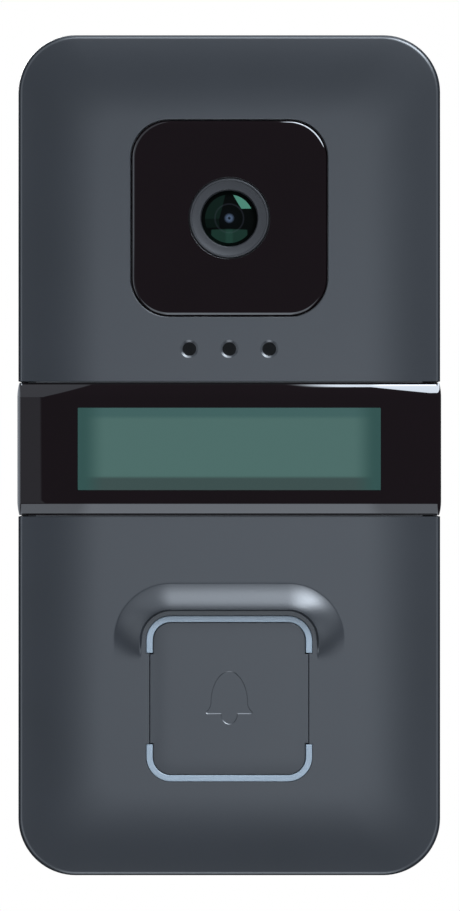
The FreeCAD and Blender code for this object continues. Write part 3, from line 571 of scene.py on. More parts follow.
def name_pane_material(box: Extent) -> bpy.types.Material:
    """The name window: clear polished PMMA over a teal card, whose colour darkens near its edges as painted
    shade from the frame.

    Args:
        box: the pane's extent, from whose edges the painted shade is measured.

    Returns:
        The material.
    """
    made = bpy.data.materials.new("polished_pmma_over_teal_card")
    made.use_nodes = True
    tree = made.node_tree
    tree.nodes.clear()
    shader = add_node(tree, "ShaderNodeBsdfPrincipled", {"IOR": 1.49, "Roughness": 0.0})
    add_node(tree, "ShaderNodeOutputMaterial", links={"Surface": shader.outputs["BSDF"]})
    place = add_node(tree, "ShaderNodeTexCoord").outputs["Object"]
    centred = add_node(tree, "ShaderNodeVectorMath", {1: tuple(box.centre * MM)}, {0: place},
                       operation="SUBTRACT")
    parts = add_node(tree, "ShaderNodeSeparateXYZ", links={0: centred.outputs[0]})
    across = add_node(tree, "ShaderNodeMath", links={0: parts.outputs["X"]}, operation="ABSOLUTE")
    half_w, half_h = box.size.x / 2, box.size.z / 2

    def shade(socket: bpy.types.NodeSocket, start: float, end: float) -> bpy.types.NodeSocket:
        """0 at one distance and 1 at the other, with a smooth change between."""
        ramp = add_node(tree, "ShaderNodeMapRange", {"From Min": start * MM, "From Max": end * MM},
                        {"Value": socket}, interpolation_type="SMOOTHSTEP")
        return ramp.outputs["Result"]

    # Painted shade: the card's colour darkens towards both ends, its foot and its head, standing in for the
    # frame's shadow on a recessed card.
    ends_shade_mask = shade(across.outputs[0], half_w - 5.0, half_w - 0.8)
    foot = shade(parts.outputs["Z"], 2.6 - half_h, 1.9 - half_h)
    head_shade_mask = shade(parts.outputs["Z"], half_h - 2.2, half_h - 1.2)
    # Only the first colour is the card's own teal; the other three are painted shade.
    card, top, foot_shade_colour, rim = "#384c45", "#2f443f", "#2b3632", "#243934"
    last: Optional[bpy.types.NodeSocket] = None
    for factor, shade_colour in ((head_shade_mask, top), (foot, foot_shade_colour), (ends_shade_mask, rim)):
        mix = add_node(tree, "ShaderNodeMix", {6: linear(card), 7: linear(shade_colour)},
                       {0: factor, **({6: last} if last else {})}, data_type="RGBA")
        last = mix.outputs[2]
    tree.links.new(last, shader.inputs["Base Color"])
    return made


def front_lens_material(lens: Extent) -> bpy.types.Material:
    """The opaque front glass, with a painted reflection of the inner lens round a dark pupil and a faint
    painted ring of the lit barrel step in its colour.

    Args:
        lens: the lens's box, whose middle is the axis.

    Returns:
        The material.
    """
    material = FRONT_GLASS.material().copy()
    material.name = "coated_front_glass_with_pupil"
    tree = material.node_tree
    shader = next(node for node in tree.nodes if node.type == "BSDF_PRINCIPLED")
    place = add_node(tree, "ShaderNodeTexCoord").outputs["Object"]
    moved = add_node(tree, "ShaderNodeVectorMath", {1: (lens.centre.x * MM, 0.0, lens.centre.z * MM)},
                     {0: place}, operation="SUBTRACT")
    flat = add_node(tree, "ShaderNodeVectorMath", {1: (1.0, 0.0, 1.0)}, {0: moved.outputs[0]},
                    operation="MULTIPLY")
    reach = add_node(tree, "ShaderNodeVectorMath", links={0: flat.outputs[0]}, operation="LENGTH")
    share = add_node(tree, "ShaderNodeMath", {1: 1.0 / (LENS_PATTERN_R * MM)},
                     {0: reach.outputs["Value"]}, operation="MULTIPLY")
    rings = add_node(tree, "ShaderNodeValToRGB", links={0: share.outputs[0]})
    # Painted reflection: a bluish-grey ring round the dark centre stands in for the inner lens's reflection,
    # and a faint lighter ring for the lit barrel step seen through the glass.
    painted_pupil_stops = ((0.0, "#0c1016"), (0.03, "#0e1218"), (0.07, "#363f4c"), (0.12, "#2b323d"), (0.15, "#1d222a"),
             (0.185, "#050506"), (0.46, "#040404"), (0.5, "#131316"), (0.54, "#040404"))
    ramp = rings.color_ramp
    for spot, code in painted_pupil_stops[2:]:
        ramp.elements.new(spot)
    for element, (spot, code) in zip(ramp.elements, painted_pupil_stops):
        element.position, element.color = spot, linear(code)
    tree.links.new(rings.outputs["Color"], shader.inputs["Base Color"])
    return material


def dress(piece: bpy.types.Object, material: bpy.types.Material) -> None:
    """Gives a piece one material."""
    piece.data.materials.clear()
    piece.data.materials.append(material)


def join_object(piece: bpy.types.Object, body: str, slot: str, *nodes: str) -> None:
    """Gives a piece its body and hides the frame nodes it stands for."""
    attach(piece, body)
    if nodes:
        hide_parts(*nodes)
    LOG.info("%s: %d faces on %s", piece.name, len(piece.data.polygons), body)


def settle(piece: bpy.types.Object, body: str, slot: str, *nodes: str,
           material: Optional[bpy.types.Material] = None) -> None:
    """Shades and dresses a finished piece and gives it its place in the object.

    Args:
        piece: the piece, which keeps its name.
        body: the body it rides on.
        slot: its material slot in the record.
        nodes: the frame nodes it stands for.
        material: its material, when it isn't the slot's own finish.
    """
    smooth(piece)
    dress(piece, material or SLOT_FINISH[slot].material())
    join_object(piece, body, slot, *nodes)


# ---------------------------------------------------------------- the assembly

CAMERA_CORNER = 6.7


def peg_places(band: Extent) -> list[tuple[float, float]]:
    """Where the name cover's four pegs go, in X and Z."""
    return [(x, band.centre.z + z) for x in (-31.0, 31.0) for z in (-8.0, 8.0)]


@dataclass
class FaceForm:
    """The form that the shell, the band and the plates in it share."""

    half_w: float
    half_h: float
    y_face: float
    corner: float = 10.0
    edge_roll: float = 0.9
    fall: float = 1.2
    fall_width: float = 14.0
    radius_loss: float = 0.45

    def rim(self, roll_steps: int = 10, fall_steps: int = 16) -> list[tuple[float, float]]:
        """(inset, y) from the side, over the rolled edge and in to the flat of the face."""
        turn = math.pi / 2 - math.atan(2 * self.fall / self.fall_width)
        start = self.y_face + self.fall + self.edge_roll * math.sin(turn)
        rolled = self.edge_roll * (1 - math.cos(turn))
        pairs = []
        for step in range(roll_steps + 1):
            angle = turn * step / roll_steps
            pairs.append((self.edge_roll * (1 - math.cos(angle)), start - self.edge_roll * math.sin(angle)))
        for step in range(1, fall_steps + 1):
            t = step / fall_steps
            pairs.append((rolled + self.fall_width * t, self.y_face + self.fall * (1 - t) ** 2))
        return pairs

    def ring(self, inset: float, y: float) -> np.ndarray:
        """The body's outline, smaller by the inset, at one y."""
        outline = rounded_outline(self.half_w - inset, self.half_h - inset,
                                  self.corner - self.radius_loss * inset, arc=20, across=32, up=70)
        return lifted(outline, y)


@dataclass(frozen=True)
class ButtonPlan:
    """The square of the call button, which its opening, its cap, its guides and the brow share."""

    half: float = 14.5
    corner: float = 4.3
    leg: float = 6.5
    ear_x: float = 13.9


@dataclass
class Brow:
    """The ridge over the button: a long outer slope, a crest and a steep inner wall."""

    centre_z: float
    half: float = ButtonPlan.half
    radius: float = ButtonPlan.corner
    slopes: tuple[tuple[float, float], ...] = ((15.72, 0.42), (16.4, 0.5), (18.3, 0.5), (19.4, 0.42),
                                              (20.1, 0.34), (20.3, 0.0))
    ledge: float = 15.3
    height: float = 1.9
    fade_low: float = -36.0
    fade_high: float = -25.4

    def rise(self, x: np.ndarray, z: np.ndarray) -> np.ndarray:
        """How far the ridge stands out of the face at each place."""
        q = self.half + rounded_distance(x, z - self.centre_z, self.half, self.radius)
        places, slopes = np.array(self.slopes).T
        fine = np.linspace(places[0], places[-1], 400)
        steep = np.interp(fine, places, slopes)
        gone = np.concatenate([[0], np.cumsum((steep[1:] + steep[:-1]) / 2)])
        height = self.height * (1 - gone / gone[-1])
        outer = np.interp(q, fine, height)
        wall = self.height * smoothstep(self.ledge, places[0], q)
        return np.where(q < places[0], wall, outer) * smoothstep(self.fade_low, self.fade_high, z)

    def points(self) -> np.ndarray:
        """Points along the ridge's contours, close together where it turns sharply."""
        rows = [14.85, 15.1, 15.2, 15.3, 15.34, 15.4, 15.46, 15.52, 15.58, 15.64, 15.69, 15.73, 15.8,
                15.9, 16.1, 16.4, 16.8, 17.4, 18.0, 18.5, 19.0, 19.5, 19.9, 20.05, 20.13, 20.21, 20.3,
                20.4, 20.9, 21.6]
        found = []
        for q in rows:
            loop = rounded_outline(q, q, q - self.half + self.radius, (0.0, self.centre_z))
            loop = refined(loop, 0.45)
            found.append(loop[loop[:, 1] > self.fade_low - 1])
        return np.vstack(found)


@dataclass
class FrontShell:
    """The moulded front: face, rolled rim, brow, recesses and holes."""

    form: FaceForm
    brow: Brow
    parting_y: float
    camera: Extent
    band: Extent
    button: Extent
    parting_chamfer: float = 0.3
    wall: float = 2.2
    camera_gap: float = 0.12
    hole_z: float = 18.6
    hole_pitch: float = 7.0
    hole_r: float = 1.2
    sink_r: float = 1.58
    bore_half: float = 15.5
    peg_hole_r: float = 1.15
    ear_gap: float = 0.06
    plan: ButtonPlan = ButtonPlan()

    def blank(self) -> bpy.types.Object:
        """The closed outer form, before anything is cut."""
        made = Draft()
        rim = self.form.rim()
        chamfer = self.parting_chamfer
        rings = [self.form.ring(chamfer, self.parting_y), self.form.ring(0, self.parting_y - chamfer)]
        rings += [self.form.ring(inset, y) for inset, y in rim]
        made.loft(rings)

        def face(x: np.ndarray, z: np.ndarray) -> np.ndarray:
            return self.form.y_face - self.brow.rise(x, z)

        made.sheet([rings[-1][:, [0, 2]]], face, np.vstack([self.brow.points(), self.grid()]))
        made.sheet([rings[0][:, [0, 2]]], level(self.parting_y))
        return made.piece("front_skin")

    def grid(self, spacing: float = 1.7) -> np.ndarray:
        """Even points over the flat of the face, clear of the brow."""
        border, clear_half, clear_corner, clearance = 16.2, 22.6, 12.4, 0.8
        reach_x, reach_z = self.form.half_w - border, self.form.half_h - border
        xs = np.linspace(-reach_x, reach_x, round(2 * reach_x / spacing))
        zs = np.linspace(-reach_z, reach_z, round(2 * reach_z / spacing))
        points = np.array([(x, z) for z in zs for x in xs])
        away = rounded_distance(points[:, 0], points[:, 1] - self.brow.centre_z, clear_half, clear_corner)
        return points[away > clearance]

    def button_outline(self, gap: float) -> np.ndarray:
        """The opening of the button and its ring, narrower between the guides' legs."""
        plan = self.plan
        loop = stepped_square(plan.half + gap, plan.corner + gap, plan.ear_x + self.ear_gap,
                              plan.half - plan.leg - gap, arc=14)
        return loop + np.array([0.0, self.button.centre.z])

    def hollows(self) -> list[bpy.types.Object]:
        """Cutters for the hollow inside, which leave the channel floor and the walls."""
        w, h = self.form.half_w - self.wall, self.form.half_h - self.wall
        floor = self.band.low.y + 4.6
        top, foot = self.band.high.z + 2.3, self.band.low.z - 2.3
        made = [slab("cutter", rounded_outline(w - 1.4, h, 6.0), self.parting_y + 1, floor)]
        for low, high in ((top, self.form.half_h - 9), (9 - self.form.half_h, foot)):
            outline = rounded_outline(self.form.half_w - 9, (high - low) / 2, 3.0, (0.0, (low + high) / 2))
            made.append(slab("cutter", outline, floor + 1, self.form.y_face + self.wall))
        return made

    def band_seat(self) -> bpy.types.Object:
        """The cutter for the name cover's seat round the front and both sides."""
        low, high = self.band.low.z - 0.25, self.band.high.z + 0.25
        x, y, out = self.form.half_w - 1.6, self.form.y_face + 2.0, self.form.half_w + 3
        back, front = self.band.high.y + 0.3, self.form.y_face - 3
        section = [(-out, front), (out, front), (out, back), (x, back), (x, y + 1.5), (x - 1.5, y),
                   (1.5 - x, y), (-x, y + 1.5), (-x, back), (-out, back)]
        made = Draft()
        made.loft([np.array([(px, py, z) for px, py in section]) for z in (low, high)])
        for start in (0, len(section)):
            made.faces.append(tuple(range(start, start + len(section))))
        return made.piece("cutter")

    def camera_recess(self) -> list[bpy.types.Object]:
        """Cutters for the camera window's seat and for the opening behind it."""
        face, centre = self.form.y_face, (self.camera.centre.x, self.camera.centre.z)
        half = self.camera.size.x / 2 + self.camera_gap
        ledge = self.camera.high.y + 0.15
        seat = rounded_outline(half, half, CAMERA_CORNER + self.camera_gap, centre, arc=20)
        bore = rounded_outline(self.bore_half, self.bore_half, 5.0, centre)
        return [flared_cutter(seat, ledge, face - 1, 0.06, face), slab("cutter", bore, ledge + 4, ledge - 1)]

    def speaker_holes(self) -> list[bpy.types.Object]:
        """Cutters for the three countersunk holes."""
        face, slope = self.form.y_face, (self.sink_r - self.hole_r) * 0.6
        profile = [(0, face + 4), (self.hole_r, face + 4), (self.hole_r, face + slope),
                   (self.sink_r, face), (self.sink_r + 0.5, face - 0.3), (0, face - 0.3)]
        return [lathe("cutter", profile, (step * self.hole_pitch, self.hole_z), 64) for step in (-1, 0, 1)]

    def build(self) -> None:
        """The finished shell."""
        face = self.form.y_face
        shell = self.blank()
        for cutter in (*self.hollows(), self.band_seat(), *self.camera_recess(), *self.speaker_holes()):
            carve(shell, cutter)
        carve(shell, flared_cutter(self.button_outline(0.05), face + 4, face - 2, 0.05, face))
        diffuser_z = Extent.of("name_diffuser").centre.z
        through = [rounded_outline(27.0, 7.7, 0.5, (0.0, diffuser_z), arc=4)]
        through += [circle_outline(self.peg_hole_r, at, 32) for at in peg_places(self.band)]
        for outline in through:
            carve(shell, slab("cutter", outline, face + 6, face + 1))
        shell.name = "front_shell_skin"
        settle(shell, "housing", "shell_anthracite", "front_shell")


@dataclass
class NameCover:
    """The gloss band that wraps the front and both sides, with its window."""

    form: FaceForm
    band: Extent
    pane: Extent
    wall: float = 2.0
    leg_wall: float = 1.6
    edge: float = 0.08
    pillow_r: float = 4.7
    pillow_deg: float = 32.0
    pane_lip: float = 1.2

    def glass(self) -> tuple[tuple[float, float], float, float]:
        """The middle and half sizes of the part of the pane that shows."""
        half_w, half_h = self.pane.size.x / 2 - self.pane_lip, self.pane.size.z / 2 - self.pane_lip
        return (self.pane.centre.x, self.pane.centre.z), half_w, half_h

    def pillow(self) -> list[tuple[float, float]]:
        """(distance from the band's upper or lower edge, pull inwards) over the rounded border."""
        end = math.radians(self.pillow_deg)
        drop = self.pillow_r * (1 - math.cos(end))
        pairs = [(0.0, drop + self.edge), (self.edge * 0.35, drop + self.edge * 0.4)]
        for step in range(15):
            angle = end * (1 - step / 14)
            pairs.append((self.edge + self.pillow_r * (math.sin(end) - math.sin(angle)),
                          self.pillow_r * (1 - math.cos(angle))))
        return pairs

    def section(self, pull: float) -> np.ndarray:
        """The band's closed section in X and Y, its outside drawn in by the pull."""
        side = self.band.high.x
        rim = self.form.rim(12, 18)
        outer = [(side - inset, y + self.band.low.y - self.form.y_face) for inset, y in rim]
        path = np.array([(side, self.band.high.y), *outer])
        tangent = np.gradient(path, axis=0)
        normal = np.stack([tangent[:, 1], -tangent[:, 0]], 1)
        normal /= np.linalg.norm(normal, axis=1, keepdims=True)
        normal[0], normal[-1] = (-1, 0), (0, 1)
        normal = np.where((normal[:, :1] > 0) | (normal[:, 1:] < 0), -normal, normal)
        moved = path + normal * pull * (0.45 + 0.55 * normal[:, 1:] ** 2)
        x, y = side - self.leg_wall, self.band.low.y + self.wall
        inner = [(1.5 - x, y), (-x, y + 1.5), (-x, self.band.high.y)]
        left = [(-px, py) for px, py in moved[::-1]]
        middle = [(px, moved[-1][1]) for px in np.linspace(moved[-1][0], -moved[-1][0], 12)[1:-1]]
        back = [(x, self.band.high.y), (x, y + 1.5), (x - 1.5, y)]
        return np.array([*moved, *middle, *left, *inner[::-1], *back[::-1]])

    def build(self) -> None:
        """The finished band."""
        low, high = self.band.low.z, self.band.high.z
        border = self.pillow()
        start = border[-1][0] + SUPPORT_MM
        flat = [(z, 0.0) for z in np.linspace(low + start, high - start, 16)]
        levels = [(low + t, pull) for t, pull in border] + flat
        levels += [(high - t, pull) for t, pull in reversed(border)]
        rings = []
        for z, pull in levels:
            section = self.section(pull)
            rings.append(np.stack([section[:, 0], section[:, 1], np.full(len(section), z)], 1))
        made = Draft()
        made.loft(rings)
        count = len(rings[0])
        made.faces.append(tuple(range(count)))
        made.faces.append(tuple(range(count * (len(rings) - 1), count * len(rings))))
        band = made.piece("name_cover_band")
        front, lip = self.band.low.y, self.pane_lip
        centre, half_w, half_h = self.glass()
        opening = rounded_outline(half_w + 0.02, half_h + 0.02, 0.14, centre, arc=3)
        carve(band, slab("cutter", opening, front + 4, front - 1))
        step = rounded_outline(half_w + lip, half_h + lip, 0.3, centre, arc=3)
        carve(band, slab("cutter", step, front + 4, front + 1.0))
        settle(band, "name_cover", "gloss_black", "name_cover")

    def build_pegs(self) -> None:
        """The four pegs on the band's back, as one piece."""
        made = Draft()
        back = self.band.low.y + self.wall
        profile = [(1.0, back - 0.3), (1.0, back + 2.0), (0.7, back + 2.4)]
        for at in peg_places(self.band):
            rings = [lifted(circle_outline(r, at, 32), y) for r, y in profile]
            made.loft(rings)
            made.sheet([rings[0][:, [0, 2]]], level(profile[0][1]))
            made.sheet([rings[-1][:, [0, 2]]], level(profile[-1][1]))
        pegs = made.piece("name_cover_pegs")
        settle(pegs, "name_cover", "gloss_black")

    def build_pane(self) -> None:
        """The name window, flush in the band."""
        centre, half_w, half_h = self.glass()
        outline = rounded_outline(half_w, half_h, 0.12, centre, arc=3)
        pane = slab("name_window_pane", outline, self.pane.high.y, self.pane.low.y)
        box = Extent(Vector((centre[0] - half_w, self.pane.low.y, centre[1] - half_h)),
                     Vector((centre[0] + half_w, self.pane.high.y, centre[1] + half_h)))
        settle(pane, "name_cover", "clear_pane", "name_window", material=name_pane_material(box))


@dataclass
class Camera:
    """The camera window and the lens in it."""

    window: Extent
    bezel: Extent
    lens: Extent
    corner: float = CAMERA_CORNER
    edge: float = 0.72
    fall: float = 0.008
    fall_width: float = 3.0
    hole_r: float = 7.15
    bezel_r: float = 6.93

    @property
    def axis(self) -> tuple[float, float]:
        """Where the lens axis meets the face."""
        return self.bezel.centre.x, self.bezel.centre.z

    def build_window(self) -> None:
        """The gloss plate round the lens, which falls away a little towards its edges."""
        half = self.window.size.x / 2
        centre = (self.window.centre.x, self.window.centre.z)
        outline = rounded_outline(half, half, self.corner, centre, arc=28, across=12, up=12)

        def form(x: np.ndarray, z: np.ndarray) -> np.ndarray:
            reach = rounded_distance(x - centre[0], z - centre[1], half, self.corner)
            border = np.clip(1 + (reach + self.edge) / self.fall_width, 0, 1)
            return self.window.low.y + self.fall * border ** 2

        rows = [refined(rounded_outline(half - d, half - d, max(self.corner - d, 3.0), centre, arc=20), 0.9)
                for d in (0.8, 1.2, 1.7, 2.3, 3.0, 3.6)]
        window = slab("camera_window_plate", outline, self.window.high.y, self.window.low.y, self.edge,
                      [circle_outline(self.hole_r, self.axis, 128)], 0.03, form, np.vstack(rows), steps=8)
        settle(window, "housing", "gloss_black", "camera_window")

    def build_bezel(self) -> None:
        """The funnel ring round the front lens, with two fine steps at its foot."""
        front, back, bore = self.bezel.low.y, self.bezel.high.y, self.lens.size.x / 2 + 0.08
        outer = self.bezel_r
        flange_r, flange_y, step_in = 8.4, front + 1.65, 0.42
        profile = [(bore, back), (flange_r, back), (flange_r, flange_y), (outer, flange_y),
                   (outer, front + 0.22)]
        profile += [(outer - 0.15 * (1 - math.cos(a)), front + 0.22 - 0.2 * math.sin(a))
                    for a in (math.pi / 8, math.pi / 4, math.pi * 3 / 8, math.pi / 2)]
        profile += [(outer - 0.34, front + 0.05), (outer - step_in, front + 0.14)]
        for step in range(1, 9):
            t = step / 8
            r = outer - step_in + (bore + 0.22 - outer + step_in) * t
            profile.append((r, front + 0.14 + 0.2 * t + 0.03 * math.sin(math.pi * t)))
        profile += [(bore + 0.12, front + 0.44), (bore + 0.1, front + 0.9), (bore, front + 1.04)]
        bezel = lathe("lens_bezel_ring", profile, self.axis, 160)
        settle(bezel, "housing", "bezel_black", "lens_bezel")

    def build_glass(self) -> None:
        """The front element: a dome in front, flat behind."""
        radius, apex, rim = self.lens.size.x / 2, self.lens.low.y, self.lens.low.y + 1.0
        rise = rim - apex
        ball = (radius ** 2 + rise ** 2) / (2 * rise)
        dome = []
        for step in range(25):
            r = radius * step / 24
            dome.append((r, apex + ball - math.sqrt(ball ** 2 - r ** 2)))
        back = self.lens.high.y
        glass = lathe("front_lens_glass", [*dome, (radius, back - 0.1), (radius - 0.1, back), (0.0, back)],
                      self.axis, 128)
        settle(glass, "housing", "lens_glass", "front_lens", material=front_lens_material(self.lens))

    def build_barrel(self) -> None:
        """The barrel with its black stepped funnel, seen through the front lens."""
        box = Extent.of("lens_barrel")
        front, back, outer = box.low.y, box.high.y, box.size.x / 2
        bore_r, stop_r, mouth_r, step_r, step_y = 1.2, 0.95, 4.6, 0.3, 0.18
        profile = [(bore_r, back), (outer, back), (outer, front)]
        for step in range(7):
            r, y = mouth_r - step_r * step, front + 0.02 + step_y * step
            profile += [(r, y), (r - 0.16, y + 0.04), (r - 0.16, y + 0.15)]
        throat = profile[-1][1]
        profile += [(2.5, throat), (2.4, throat + 0.1), (1.1, throat + 0.25), (stop_r, throat + 0.4),
                    (stop_r, throat + 1.2), (bore_r, throat + 1.3)]
        settle(lathe("lens_barrel_funnel", profile, self.axis, 96), "housing", "barrel_metal", "lens_barrel")
        self.build_inner(throat + 0.35)

    def build_inner(self, front: float) -> None:
        """The small strong dome of the second element.

        Args:
            front: how far forward it comes, in Y.
        """
        rim, ball = 0.93, 1.15
        dome = [(rim * k / 16, front + ball - math.sqrt(ball ** 2 - (rim * k / 16) ** 2)) for k in range(17)]
        profile = [*dome, (rim, front + 1.0), (0.0, front + 1.0)]
        settle(lathe("inner_lens_dome", profile, self.axis, 96), "housing", "lens_glass", "inner_lenses",
               material=VIOLET_GLASS.material())

    def build(self) -> None:
        """All the camera's pieces that show."""
        self.build_window()
        self.build_bezel()
        self.build_glass()
        self.build_barrel()


@dataclass
class CallButton:
    """The call button's cap, its bell symbol and the two light guides."""

    cap: Extent
    plan: ButtonPlan = ButtonPlan()
    ring_width: float = 1.1
    cap_half: float = 13.3
    sink: float = 0.02
    crown_fall: float = 0.07
    crown_width: float = 3.2
    bell_depth: float = 0.10
    bell_chamfer: float = 0.16

    @property
    def centre(self) -> tuple[float, float]:
        """The middle of the cap."""
        return 0.0, self.cap.centre.z

    def cap_outline(self) -> np.ndarray:
        """The cap: a rounded square with an ear on each side."""
        plan = self.plan
        loop = stepped_square(self.cap_half, plan.corner - self.ring_width - 0.1, plan.ear_x,
                              plan.half - plan.leg - 0.2, arc=18)
        return refined(loop + np.array(self.centre), 0.8)

    def bell_outline(self) -> np.ndarray:
        """The bell: a half-ellipse dome, flared brim and half-round clapper."""
        dome_x, dome_h, waist, base, brim_x, clapper = 3.3, 5.74, -0.9, -2.7, 4.1, 1.5
        points = [(dome_x * math.cos(a), waist + dome_h * math.sin(a))
                  for a in np.linspace(0, math.pi, 40)]
        flare = [(-dome_x - 0.05, waist - 0.35), (-dome_x - 0.22, waist - 0.75), (-dome_x - 0.5, waist - 1.1),
                 (-brim_x, waist - 1.4), (-brim_x - 0.02, base + 0.22), (-brim_x + 0.12, base + 0.06),
                 (-brim_x + 0.3, base)]
        points += flare
        points += [(clapper * math.cos(a), base + 1.85 * math.sin(a))
                   for a in np.linspace(math.pi, 2 * math.pi, 20)]
        points += [(-x, z) for x, z in reversed(flare)]
        return refined(np.array(points) + np.array(self.centre), 0.35)

    def crown(self, x: np.ndarray, z: np.ndarray) -> np.ndarray:
        """The cap's front: flat in the middle, falling away a little near its edges."""
        reach = rounded_distance(x, z - self.centre[1], self.cap_half, self.crown_width)
        return self.cap.low.y + self.sink + self.crown_fall * np.clip(1 + reach / self.crown_width, 0, 1) ** 2

    def build_cap(self) -> None:
        """The cap with its debossed bell."""
        made = Draft()
        bell = self.bell_outline()
        floor = offset_outline(bell, self.bell_chamfer)
        rings = [lifted(bell, self.crown(bell[:, 0], bell[:, 1]))]
        for t in (0.3, 0.7, 1.0):
            at = offset_outline(bell, self.bell_chamfer * t)
            rings.append(lifted(at, self.crown(at[:, 0], at[:, 1]) + self.bell_depth * t))
        made.loft(rings)
        made.sheet([floor], lambda x, z: self.crown(x, z) + self.bell_depth)
        rows = [refined(rounded_outline(self.cap_half - d, self.cap_half - d, self.crown_width, self.centre),
                        0.8) for d in (0.6, 1.0, 1.5, 2.0, 2.6, 3.2)]
        cap = slab("call_button_cap", self.cap_outline(), self.cap.low.y + 3.8, self.cap.low.y, 0.12,
                   surface=self.crown, extra=np.vstack(rows), steps=5, draft=made, open_loops=[bell])
        settle(cap, "button", "shell_anthracite", "button_cap")

    def build_stem(self) -> None:
        """The stem behind the cap."""
        front = self.cap.low.y + 1.8
        profile = [(0.0, front), (2.5, front), (2.5, self.cap.high.y - 0.2), (2.3, self.cap.high.y),
                   (0.0, self.cap.high.y)]
        stem = lathe("call_button_stem", profile, self.centre, 48)
        settle(stem, "button", "shell_anthracite")

    def build_guide(self, side: int) -> None:
        """One C-shaped guide.

        Args:
            side: 1 for the guide above the cap and -1 for the one below.
        """
        node = "light_guide_top" if side > 0 else "light_guide_bottom"
        half, corner, leg = self.plan.half, self.plan.corner, self.plan.half - self.plan.leg
        outer = rounded_outline(half, half, corner, arc=18)
        inner_half = half - self.ring_width
        inner = rounded_outline(inner_half, inner_half, corner - self.ring_width, arc=18)
        count = len(outer) // 2
        path = [(half, leg), *outer[:count], (-half, leg),
                (-inner_half, leg), *inner[:count][::-1], (inner_half, leg)]
        points = np.array(path)
        if side < 0:
            points = -points
        outline = refined(points + np.array(self.centre), 0.6)
        back = self.cap.low.y + 5.5
        guide = slab(node + "_ring", outline, back, self.cap.low.y + self.sink, edge=0.14, steps=4)
        settle(guide, "housing", "milky_plastic", node)

    def build(self) -> None:
        """All the button's pieces that show."""
        self.build_cap()
        self.build_stem()
        for side in (1, -1):
            self.build_guide(side)


# ---------------------------------------------------------------- plain frame nodes

def loose_parts(piece: bpy.types.Object) -> list[Extent]:
    """The extent of each separate part of a mesh, in millimetres and in no fixed order."""
    mesh = bmesh.new()
    mesh.from_mesh(piece.data)
    bmesh.ops.remove_doubles(mesh, verts=mesh.verts, dist=WELD_MM * MM)
    left, found = set(mesh.verts), []
    while left:
        front = [left.pop()]
        group = list(front)
        while front:
            here = front.pop()
            near = {edge.other_vert(here) for edge in here.link_edges} & left
            left -= near
            front += near
            group += near
        places = np.array([tuple(piece.matrix_world @ vert.co) for vert in group]) / MM
        found.append(Extent(Vector(places.min(0)), Vector(places.max(0))))
    mesh.free()
    return found


@dataclass(frozen=True)
class Repeat:
    """Sets one small piece at many places, each turned about Y by its own draw from a fixed seed."""

    name: str
    seed: int = 11
    turn: float = math.tau

    def tree(self) -> bpy.types.NodeTree:
        """The node group that does it, with its named inputs."""
        tree = bpy.data.node_groups.new(self.name, "GeometryNodeTree")
        for label, kind in (("Places", "Geometry"), ("Piece", "Object"), ("Finish", "Material"),
                            ("Seed", "Int"), ("Turn", "Float")):
            tree.interface.new_socket(label, in_out="INPUT", socket_type="NodeSocket" + kind)
        tree.interface.new_socket("Pieces", in_out="OUTPUT", socket_type="NodeSocketGeometry")
        given = add_node(tree, "NodeGroupInput").outputs
        shape = add_node(tree, "GeometryNodeObjectInfo", links={"Object": given["Piece"]})
        angle = add_node(tree, "FunctionNodeRandomValue", links={3: given["Turn"], 8: given["Seed"]},
                         data_type="FLOAT")
        turned = add_node(tree, "ShaderNodeCombineXYZ", links={"Y": angle.outputs[1]})
        set_out = add_node(tree, "GeometryNodeInstanceOnPoints",
                           links={"Points": given["Places"], "Instance": shape.outputs["Geometry"],
                                  "Rotation": turned.outputs[0]})
        real = add_node(tree, "GeometryNodeRealizeInstances", links={"Geometry": set_out.outputs[0]})
        finished = add_node(tree, "GeometryNodeSetMaterial",
                            links={"Geometry": real.outputs[0], "Material": given["Finish"]})
        add_node(tree, "NodeGroupOutput", links={"Pieces": finished.outputs[0]})
        return tree

    def place(self, piece: bpy.types.Object, places: Sequence[tuple[float, float, float]],
              material: bpy.types.Material) -> bpy.types.Object:
        """Makes the set as one plain mesh.

        Args:
            piece: the small piece, about the origin; it is used up.
            places: where each goes, in millimetres.
            material: what they are made of.

        Returns:
            The set.
        """
        mesh = bpy.data.meshes.new(self.name)
        mesh.from_pydata((np.array(places) * MM).tolist(), [], [])
        made = new_object(self.name, mesh)
        modifier = made.modifiers.new("repeat", "NODES")
        tree = self.tree()
        modifier.node_group = tree
        given = {"Piece": piece, "Finish": material, "Seed": self.seed, "Turn": self.turn}
        for socket in tree.interface.items_tree:
            if socket.in_out == "INPUT" and socket.name in given:
                modifier[socket.identifier] = given[socket.name]
        bake(made)
        bpy.data.objects.remove(piece)
        return made


